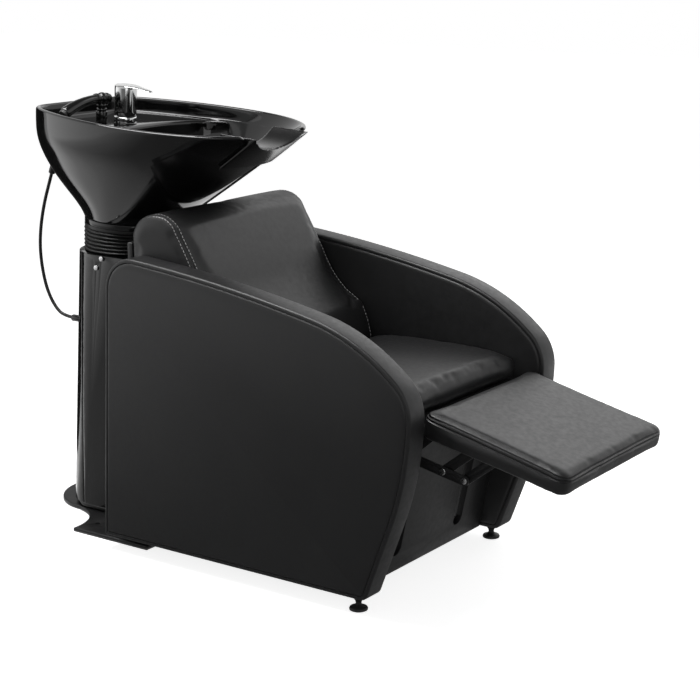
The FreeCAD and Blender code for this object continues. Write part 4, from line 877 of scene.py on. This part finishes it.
def basin():
    rings = [[flank_point(step, 0.0, 0.0006) for step in range(RING)]]
    rings += [flank_ring(share) for share in FLANK_SHARES]
    rings += [rim_ring(math.radians(angle)) for angle in (30, 60, 90, 120, 150)]
    rings.append(wall_ring(RIM_Z - 0.010, 0.009, 0.0125))
    rings.append(wall_ring(DECK_Z + 0.012, 0.013, 0.0136))
    rings.append(wall_ring(DECK_Z + 0.0035, 0.015, 0.0146))
    foot = wall_ring(DECK_Z, 0.017, 0.0172)
    edge = hollow_ring(1.0)
    ledge = [foot]
    ledge += [[first.lerp(last, share) for first, last in zip(foot, edge)] for share in (0.3, 0.7, 0.94)]
    ledge.append([point - Vector((0, 0, 0.002)) for point in edge])
    ledge += [hollow_ring(share) for share in (0.94, 0.82)]
    rings += without_ledge(rings[-2], ledge, hollow_ring(0.66))
    rings += [hollow_ring(share) for share in (0.66, 0.5, 0.34, 0.2, 0.08)]
    seat_ring = drain_ring(FLOOR_Z - 0.002, 0.0305)
    rings.append([first.lerp(last, 0.45) for first, last in zip(hollow_ring(0.0), seat_ring)])
    rings += [seat_ring, drain_ring(FLOOR_Z - 0.005, 0.0302), drain_ring(FLOOR_Z - 0.005, 0.0205),
              drain_ring(FLOOR_Z - 0.030, 0.0200), drain_ring(NECK_Z, 0.0200), rings[0]]
    piece = welded(through_rings("basin", rings))
    apply(piece, "SUBSURF", levels=2, render_levels=2)
    smooth(piece, 60)
    lean(piece)
    dress(piece, "bowl_unit", BASIN_GLOSS, "basin_gloss", "bowl")


basin()


# Bellows between the column and the basin, bent to the basin's rest lean
def bellows():
    low, high = Vector((0, TILT.y, 0.640)), leaned((0, TILT.y, 0.702))
    crest, trough, ribs = 0.118, 0.1125, 6
    band = 0.008 / (high - low).length
    profile = [(0.0, trough)]
    for rib in range(ribs):
        start, pitch = rib * (1 - band) / ribs, (1 - band) / ribs
        profile += [(start + part * pitch, radius) for part, radius in (
            (0.10, trough + 0.001), (0.24, crest - 0.0012), (0.48, crest), (0.72, crest - 0.0012),
            (0.88, trough + 0.001), (0.97, trough))]
    profile += [(1 - band * 0.9, crest - 0.0015), (1 - band * 0.5, crest - 0.0008), (1.0, crest - 0.0012)]
    inner = trough - 0.003
    profile += [(1.0, inner), (0.0, inner)]
    rings = []
    for share, radius in profile:
        centre = low.lerp(high, share)
        turn = Matrix.Rotation(LEAN * share, 3, "X")
        rings.append([centre + turn @ point for point in circle(0, 0, radius, 0, 96)])
    piece = welded(through_rings("bellows_skin", rings + [rings[0]]))
    smooth(piece, 50)
    dress(piece, None, BLACK_RUBBER, "black_rubber", "bellows")
    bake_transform(piece)


bellows()


# Neck rest: soft rubber saddle
def neck_rest():
    piece = copy_of("neck_rest", "neck_pad")
    apply(piece, "REMESH", mode="VOXEL", voxel_size=0.0018)
    apply(piece, "SMOOTH", factor=0.5, iterations=30)
    smooth(piece, 80)
    dress(piece, "bowl_unit", NECK_GEL, "black_rubber", "neck_rest")


neck_rest()


# Levelling feet: waisted glides
FOOT_X, FOOT_Y = 0.272, -0.8
FOOT_PROFILE = (
    (0.0172, 0.0), (0.0196, 0.0012), (0.0200, 0.0040), (0.0185, 0.0070), (0.0105, 0.0100), (0.0066, 0.0135),
    (0.0062, 0.0165), (0.0072, 0.0205), (0.0105, 0.0255), (0.0150, 0.0300), (0.0160, 0.0322), (0.0045, 0.0325),
    (0.0045, 0.0600),
)


def levelling_feet():
    piece = joined("glides", [turned("foot", (x, FOOT_Y), FOOT_PROFILE, 40) for x in (-FOOT_X, FOOT_X)])
    smooth(piece, 40)
    dress(piece, "base", GLIDE_PLASTIC, slots_of["levelling_feet"], "levelling_feet")


levelling_feet()

# Mixer tap: stem and ball under a hood whose top plate runs out into the lever
TAP_Y = TILT.y + 0.034
TAP_PIVOT_Z = DECK_Z + 0.054


def tap_barrel():
    """Slender stem under the hood, with its shank and tails below the shelf."""
    profile = [(0.0150, DECK_Z - 0.051), (0.0150, DECK_Z + 0.0158), (0.0108, DECK_Z + 0.0162),
               (0.0104, DECK_Z + 0.0335), (0.0096, DECK_Z + 0.0345)]
    barrel = turned("tap_barrel", (0, TAP_Y), profile)
    tails = [turned("tap_tail", (x, TAP_Y), [(0.005, DECK_Z - 0.200), (0.005, DECK_Z - 0.0505)], 16)
             for x in (-0.008, 0.008)]
    piece = joined("tap_barrel", [barrel] + tails)
    smooth(lean(piece), 35)
    dress(piece, "bowl_unit", CHROME, "chrome", "tap_body")


def tap_swivel():
    """Ball with its cross pin, inside the hood."""
    pivot = (0, TAP_Y, TAP_PIVOT_Z)
    ball = ball_at("tap_swivel", pivot, 0.0188, 48)
    bpy.ops.mesh.primitive_cylinder_add(vertices=24, radius=0.0025, depth=0.0425, location=pivot,
                                        rotation=(0, math.radians(90), 0))
    piece = joined("tap_swivel", [ball, added("swivel_pin")])
    smooth(lean(piece), 40)
    dress(piece, "tap_head", CHROME, "chrome", "tap_ball")


HOOD, BLADE_REACH = 0.0263, 0.080
# Radius and height of the hood's rings, and their share of the cut behind
HOOD_RINGS = (
    (0.0238, 0.0780, 0.0), (0.0238, 0.0174, 1.0), (0.0256, 0.0170, 1.0), (0.0261, 0.0178, 1.0),
    (0.0262, 0.0300, 0.0), (HOOD, 0.0800, 0.0), (0.0261, 0.0850, 0.0), (0.0252, 0.0872, 0.0),
    (0.0230, 0.0880, 0.0),
)
PLATE_STATIONS = (
    -0.0262, -0.0260, -0.0252, -0.0235, -0.0205, -0.016, -0.011, -0.005, 0.0, 0.006, 0.012, 0.018, 0.024, 0.030,
    0.037, 0.046, 0.055, 0.063, 0.069, 0.0735, 0.077, 0.079, BLADE_REACH,
)


def plate_half_width(reach):
    """Half the width of the lever's top plate at a distance in front of the hood's axis."""
    disc = math.sqrt(max(0.0, HOOD ** 2 - reach ** 2))
    if reach < 0.012:
        return disc
    share = min(1.0, (reach - 0.012) / 0.034)
    share = share * share * (3 - 2 * share)
    blade = 0.0234 + (0.0112 - 0.0234) * share - 0.0026 * max(0.0, reach - 0.046) / 0.034
    tip = max(0.0, 1 - max(0.0, (reach - BLADE_REACH + 0.011) / 0.0112) ** 2.5)
    return blade * math.sqrt(tip)


def tap_hood():
    rings = []
    for radius, height, slant in HOOD_RINGS:
        ring = circle(0, TAP_Y, radius, DECK_Z + height, 64)
        for point in ring:
            point.z += slant * max(0.0, point.y - TAP_Y) / radius * 0.0078
        rings.append(ring)
    return through_rings("tap_hood", rings, True, True)


def tap_plate():
    sections = []
    for reach in PLATE_STATIONS:
        crown = DECK_Z + 0.0912 - 1.3 * (reach - 0.004) ** 2
        half, thick = plate_half_width(reach), 0.0036 - 0.0016 * max(0.0, reach) / BLADE_REACH
        section = []
        for step in range(24):
            turn = 2 * math.pi * step / 24
            across = math.copysign(abs(math.cos(turn)) ** 0.45, math.cos(turn))
            rise = math.copysign(abs(math.sin(turn)) ** 0.6, math.sin(turn))
            section.append(Vector((half * across, TAP_Y - reach,
                                   crown + thick * (rise - 1) / 2 - 0.0016 * across * across)))
        sections.append(section)
    return through_rings("tap_plate", sections, True, True)


def tap_handle():
    """Hollow hood over the stem, cut away behind for the lift, with the top plate as its lever."""
    piece = joined("tap_handle", [tap_hood(), tap_plate()])
    smooth(lean(piece), 40)
    dress(piece, "lever", CHROME, "chrome", "tap_lever")


tap_barrel()
tap_swivel()
tap_handle()

# Hand shower: stem and collars, knuckle, and a handle that droops to the spray head
SLEEVE_X, SLEEVE_Y = -0.046, TILT.y + 0.067
KNUCKLE_Z = DECK_Z + 0.058
WAND_LENGTH, WAND_DROP = 0.126, 0.026


# Share of the wand's length and radius of each ring
HANDLE_RINGS = (
    (0.05, 0.0100), (0.115, 0.0104), (0.120, 0.0122), (0.135, 0.0126), (0.155, 0.0126), (0.168, 0.0122),
    (0.173, 0.0106), (0.21, 0.0102), (0.32, 0.0104), (0.48, 0.0112), (0.64, 0.0122), (0.80, 0.0132),
    (0.92, 0.0137), (0.97, 0.0137), (0.992, 0.0131), (1.0, 0.0122),
)
KNOB_RINGS = (
    (-0.05, 0.0100), (-0.085, 0.0110), (-0.09, 0.0128), (-0.10, 0.0132), (-0.125, 0.0132), (-0.135, 0.0126),
    (-0.14, 0.0108), (-0.15, 0.0108), (-0.155, 0.0120), (-0.175, 0.0120), (-0.182, 0.0112),
)
FACE_RINGS = ((0.985, 0.0112), (1.018, 0.0112), (1.034, 0.0106), (1.044, 0.0092), (1.046, 0.0060))
# Radius of each ring up the stem and its height over the shelf
STEM_RINGS = (
    (0.0080, -0.024), (0.0084, -0.022), (0.0084, 0.0285), (0.0114, 0.0287), (0.0118, 0.0297), (0.0118, 0.0335),
    (0.0112, 0.0345), (0.0092, 0.0352), (0.0092, 0.0390), (0.0126, 0.0398), (0.0130, 0.0410), (0.0130, 0.0440),
    (0.0122, 0.0452), (0.0104, 0.0460), (0.0104, 0.0500),
)


def wand_ring(share, radius):
    """Ring across the drooping handle at a share of its length."""
    drop = WAND_DROP * (1.25 * share * share - 0.25 * share)
    steep = math.atan(WAND_DROP * (2.5 * share - 0.25) / WAND_LENGTH)
    centre = Vector((SLEEVE_X - WAND_LENGTH * share, SLEEVE_Y, KNUCKLE_Z - drop))
    up = Vector((-math.sin(steep), 0, math.cos(steep)))
    return [centre + Vector((0, radius, 0)) * math.cos(math.pi * step / 20)
            + up * (radius * math.sin(math.pi * step / 20)) for step in range(40)]


def along_wand(name, rings):
    return through_rings(name, [wand_ring(share, radius) for share, radius in rings], True, True)


def hand_shower():
    profile = [(radius, DECK_Z + height) for radius, height in STEM_RINGS]
    stem = turned("shower_stem", (SLEEVE_X, SLEEVE_Y), profile, 40)
    knuckle = ball_at("shower_knuckle", (SLEEVE_X, SLEEVE_Y, KNUCKLE_Z), 0.0142, 40)
    handle = along_wand("shower_handle", HANDLE_RINGS)
    knob = along_wand("shower_knob", KNOB_RINGS)
    piece = joined("shower_handset", [stem, knuckle, handle, knob])
    smooth(lean(piece), 40)
    dress(piece, "hand_shower", SHOWER_GLOSS, "shower_plastic", "shower_wand")
    face = along_wand("shower_face", FACE_RINGS)
    smooth(lean(face), 40)
    dress(face, "hand_shower", SPRAY_GREY, "spray_grey", "spray_face")


hand_shower()

# Shower hose: one smooth curve from the basin's gland to the column's gland
HOSE_ROUTE = [
    (-0.112, 0.1927, 0.8326), (-0.112, 0.2071, 0.7954), (-0.112, 0.225, 0.750), (-0.110, 0.242, 0.695),
    (-0.107, 0.252, 0.640), (-0.103, 0.252, 0.585), (-0.099, 0.242, 0.530), (-0.096, 0.220, 0.490),
    (-0.095, 0.192, 0.470), (-0.095, 0.148, 0.470),
]
HOSE_RADIUS = 0.004


def route_line(points):
    """Points along the route's smooth curve."""
    curve = bpy.data.curves.new("hose_route", "CURVE")
    curve.dimensions = "3D"
    spline = curve.splines.new("NURBS")
    spline.points.add(len(points) - 1)
    for control, point in zip(spline.points, points):
        control.co = (*point, 1)
    spline.order_u = 3
    spline.use_endpoint_u = True
    spline.resolution_u = 12
    holder = bpy.data.objects.new("hose_route", curve)
    scene.collection.objects.link(holder)
    line = bpy.data.meshes.new_from_object(holder)
    found = [vertex.co.copy() for vertex in line.vertices]
    bpy.data.objects.remove(holder)
    return found


def shower_hose():
    line = route_line(HOSE_ROUTE)
    rings, side = [], Vector((1, 0, 0))
    for index, point in enumerate(line):
        along = (line[min(index + 1, len(line) - 1)] - line[max(index - 1, 0)]).normalized()
        side = (side - along * side.dot(along)).normalized()
        up = along.cross(side)
        turns = [math.pi * step / 8 for step in range(16)]
        rings.append([point + (side * math.cos(turn) + up * math.sin(turn)) * HOSE_RADIUS for turn in turns])
    hose = through_rings("hose", rings, True, True)
    smooth(hose, 50)
    dress(hose, None, BLACK_RUBBER, "black_rubber", "shower_hose")
    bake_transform(hose)


shower_hose()


# Studio: white surroundings, reflectors that only gloss sees, a pale floor that keeps the shadow, soft lamps
def seen_directly(tree):
    """Socket that is 1 for rays from the camera and in gloss and glass, and one for the camera's rays alone."""
    path = tree.nodes.new("ShaderNodeLightPath").outputs
    gloss_or_glass = combined(tree, "MAXIMUM", path["Is Glossy Ray"], path["Is Transmission Ray"])
    return combined(tree, "MAXIMUM", path["Is Camera Ray"], gloss_or_glass), path["Is Camera Ray"]


def surroundings():
    """White round the horizon, with a dark ceiling in gloss and a low level for soft light."""
    world = bpy.data.worlds.new("studio")
    scene.world = world
    world.use_nodes = True
    tree = world.node_tree
    split = tree.nodes.new("ShaderNodeSeparateXYZ")
    tree.links.new(tree.nodes.new("ShaderNodeTexCoord").outputs["Generated"], split.inputs["Vector"])
    seen, camera = seen_directly(tree)
    ceiling = mapped(tree, split.outputs["Z"], 0.5, 0.75, 1.0, 0.12)
    shown = combined(tree, "MAXIMUM", ceiling, camera)
    level = tree.nodes.new("ShaderNodeMix")
    level.inputs["A"].default_value = 0.2
    tree.links.new(seen, level.inputs["Factor"])
    tree.links.new(shown, level.inputs["B"])
    tree.nodes["Background"].inputs["Color"].default_value = (1, 1, 1, 1)
    tree.links.new(level.outputs["Result"], tree.nodes["Background"].inputs["Strength"])


def pale_floor():
    bpy.ops.object.select_all(action="DESELECT")
    bpy.ops.mesh.primitive_plane_add(size=30, location=(0, 0, 0))
    floor = added("floor")
    pale = bpy.data.materials.new("pale_floor")
    pale.use_nodes = True
    tree = pale.node_tree
    shader = tree.nodes["Principled BSDF"]
    shader.inputs["Base Color"].default_value = (0.86, 0.86, 0.86, 1)
    shader.inputs["Roughness"].default_value = 0.9
    shader.inputs["Specular IOR Level"].default_value = 0.1
    white = tree.nodes.new("ShaderNodeEmission")
    tree.links.new(mapped(tree, seen_directly(tree)[0], 0, 1, 0, 0.84), white.inputs["Strength"])
    both = tree.nodes.new("ShaderNodeAddShader")
    tree.links.new(shader.outputs["BSDF"], both.inputs[0])
    tree.links.new(white.outputs["Emission"], both.inputs[1])
    tree.links.new(both.outputs["Shader"], tree.nodes["Material Output"].inputs["Surface"])
    floor.data.materials.append(pale)


# Share of the half turn from behind, over the right side, to the front, and the sweep's brightness there
SWEEP_STOPS = ((0.0, 1.0), (0.055, 0.75), (0.09, 0.48), (0.14, 0.34), (0.25, 0.22), (0.37, 0.13), (0.66, 0.09))
SWEEP_LEVEL = 2.3


def fading_round(tree):
    """Strength of the sweep, which fades from behind, round the right side, to the front."""
    split = tree.nodes.new("ShaderNodeSeparateXYZ")
    tree.links.new(tree.nodes.new("ShaderNodeTexCoord").outputs["Object"], split.inputs["Vector"])
    across = mapped(tree, split.outputs["X"], -1, 1, 1, -1)
    turn = mapped(tree, combined(tree, "ARCTAN2", across, split.outputs["Y"]), 0, math.pi, 0, 1)
    ramp = tree.nodes.new("ShaderNodeValToRGB")
    for position, _ in SWEEP_STOPS[2:]:
        ramp.color_ramp.elements.new(position)
    for element, (position, value) in zip(ramp.color_ramp.elements, SWEEP_STOPS):
        element.position = position
        element.color = (*grey(value), 1)
    tree.links.new(turn, ramp.inputs["Fac"])
    return mapped(tree, ramp.outputs["Color"], 0, 1, 0, SWEEP_LEVEL)


def reflector(name, points, faces, level=None):
    """A card that only reflections see, of one level or, without one, fading round."""
    mesh = bpy.data.meshes.new(name)
    mesh.from_pydata(points, [], faces)
    card = bpy.data.objects.new(name, mesh)
    scene.collection.objects.link(card)
    surface = bpy.data.materials.new(name)
    surface.use_nodes = True
    tree = surface.node_tree
    tree.nodes.remove(tree.nodes["Principled BSDF"])
    glow = tree.nodes.new("ShaderNodeEmission")
    tree.links.new(glow.outputs["Emission"], tree.nodes["Material Output"].inputs["Surface"])
    if level is None:
        tree.links.new(fading_round(tree), glow.inputs["Strength"])
    else:
        glow.inputs["Strength"].default_value = level
    card.data.materials.append(surface)
    card.visible_camera = False
    card.visible_diffuse = False
    card.visible_shadow = False


CARD_Z, SWEEP_INNER, SWEEP_OUTER, SWEEP_TOP, SWEEP_STEPS, SWEEP_START = 0.004, 0.05, 6.0, 2.4, 36, 0.12
REAR_Y = 2.3


def side_sweep():
    """Floor and wall of a half disc on the right side."""
    points, faces = [], []
    for step in range(SWEEP_STEPS + 1):
        turn = SWEEP_START + (math.pi - SWEEP_START) * step / SWEEP_STEPS
        across, along = -math.sin(turn), math.cos(turn)
        points += [(reach * across, reach * along, height) for reach, height in (
            (SWEEP_INNER, CARD_Z), (SWEEP_OUTER, CARD_Z), (SWEEP_OUTER, SWEEP_TOP))]
        if step < SWEEP_STEPS:
            first = 3 * step
            faces += [(first, first + 1, first + 4, first + 3), (first + 1, first + 2, first + 5, first + 4)]
    reflector("side_sweep", points, faces)


def level_card(name, left, right, front, rear, height, strength, rear_left=None):
    """A level card, whose left edge can slant to another place at the rear."""
    rear_left = left if rear_left is None else rear_left
    corners = [(left, front), (right, front), (right, rear), (rear_left, rear)]
    reflector(name, [(x, y, height) for x, y in corners], [(0, 1, 2, 3)], strength)


def rear_card(name, left, right, top, strength):
    corners = [(left, 0), (right, 0), (right, top), (left, top)]
    reflector(name, [(x, REAR_Y, z) for x, z in corners], [(0, 1, 2, 3)], strength)


def reflectors():
    side_sweep()
    level_card("front_floor_card", -0.3, 1.3, -2.4, -0.75, CARD_Z, 0.35)
    level_card("strip_card", -1.1, -0.3, -0.8, 1.3, 2.4, 14)
    level_card("rear_floor_card", 0.01, 3, 0.6, REAR_Y, CARD_Z, 0.02, rear_left=-0.27)
    rear_card("rear_card", -0.27, 1.2, 1.6, 0.02)
    rear_card("grey_card", 1.2, 4.6, 1.3, 0.18)


def lamps():
    for name, place, aim, size, power in (
        ("key", (2.6, -0.6, 2.3), (0, -0.5, 0.5), (2.6, 2.2), 24),
        ("top", (-0.3, 0.3, 3.2), (0, -0.2, 0.5), (0.9, 0.9), 42),
        ("fill", (-2.6, -3.0, 1.2), (0, -0.4, 0.5), (1.6, 1.6), 12),
    ):
        lamp = bpy.data.lights.new(name, "AREA")
        lamp.shape = "RECTANGLE"
        lamp.size, lamp.size_y = size
        lamp.energy = power
        holder = bpy.data.objects.new(name, lamp)
        holder.location = place
        holder.rotation_euler = (Vector(aim) - Vector(place)).to_track_quat("-Z", "Y").to_euler()
        scene.collection.objects.link(holder)


surroundings()
pale_floor()
reflectors()
lamps()
scene.view_settings.view_transform = "Standard"
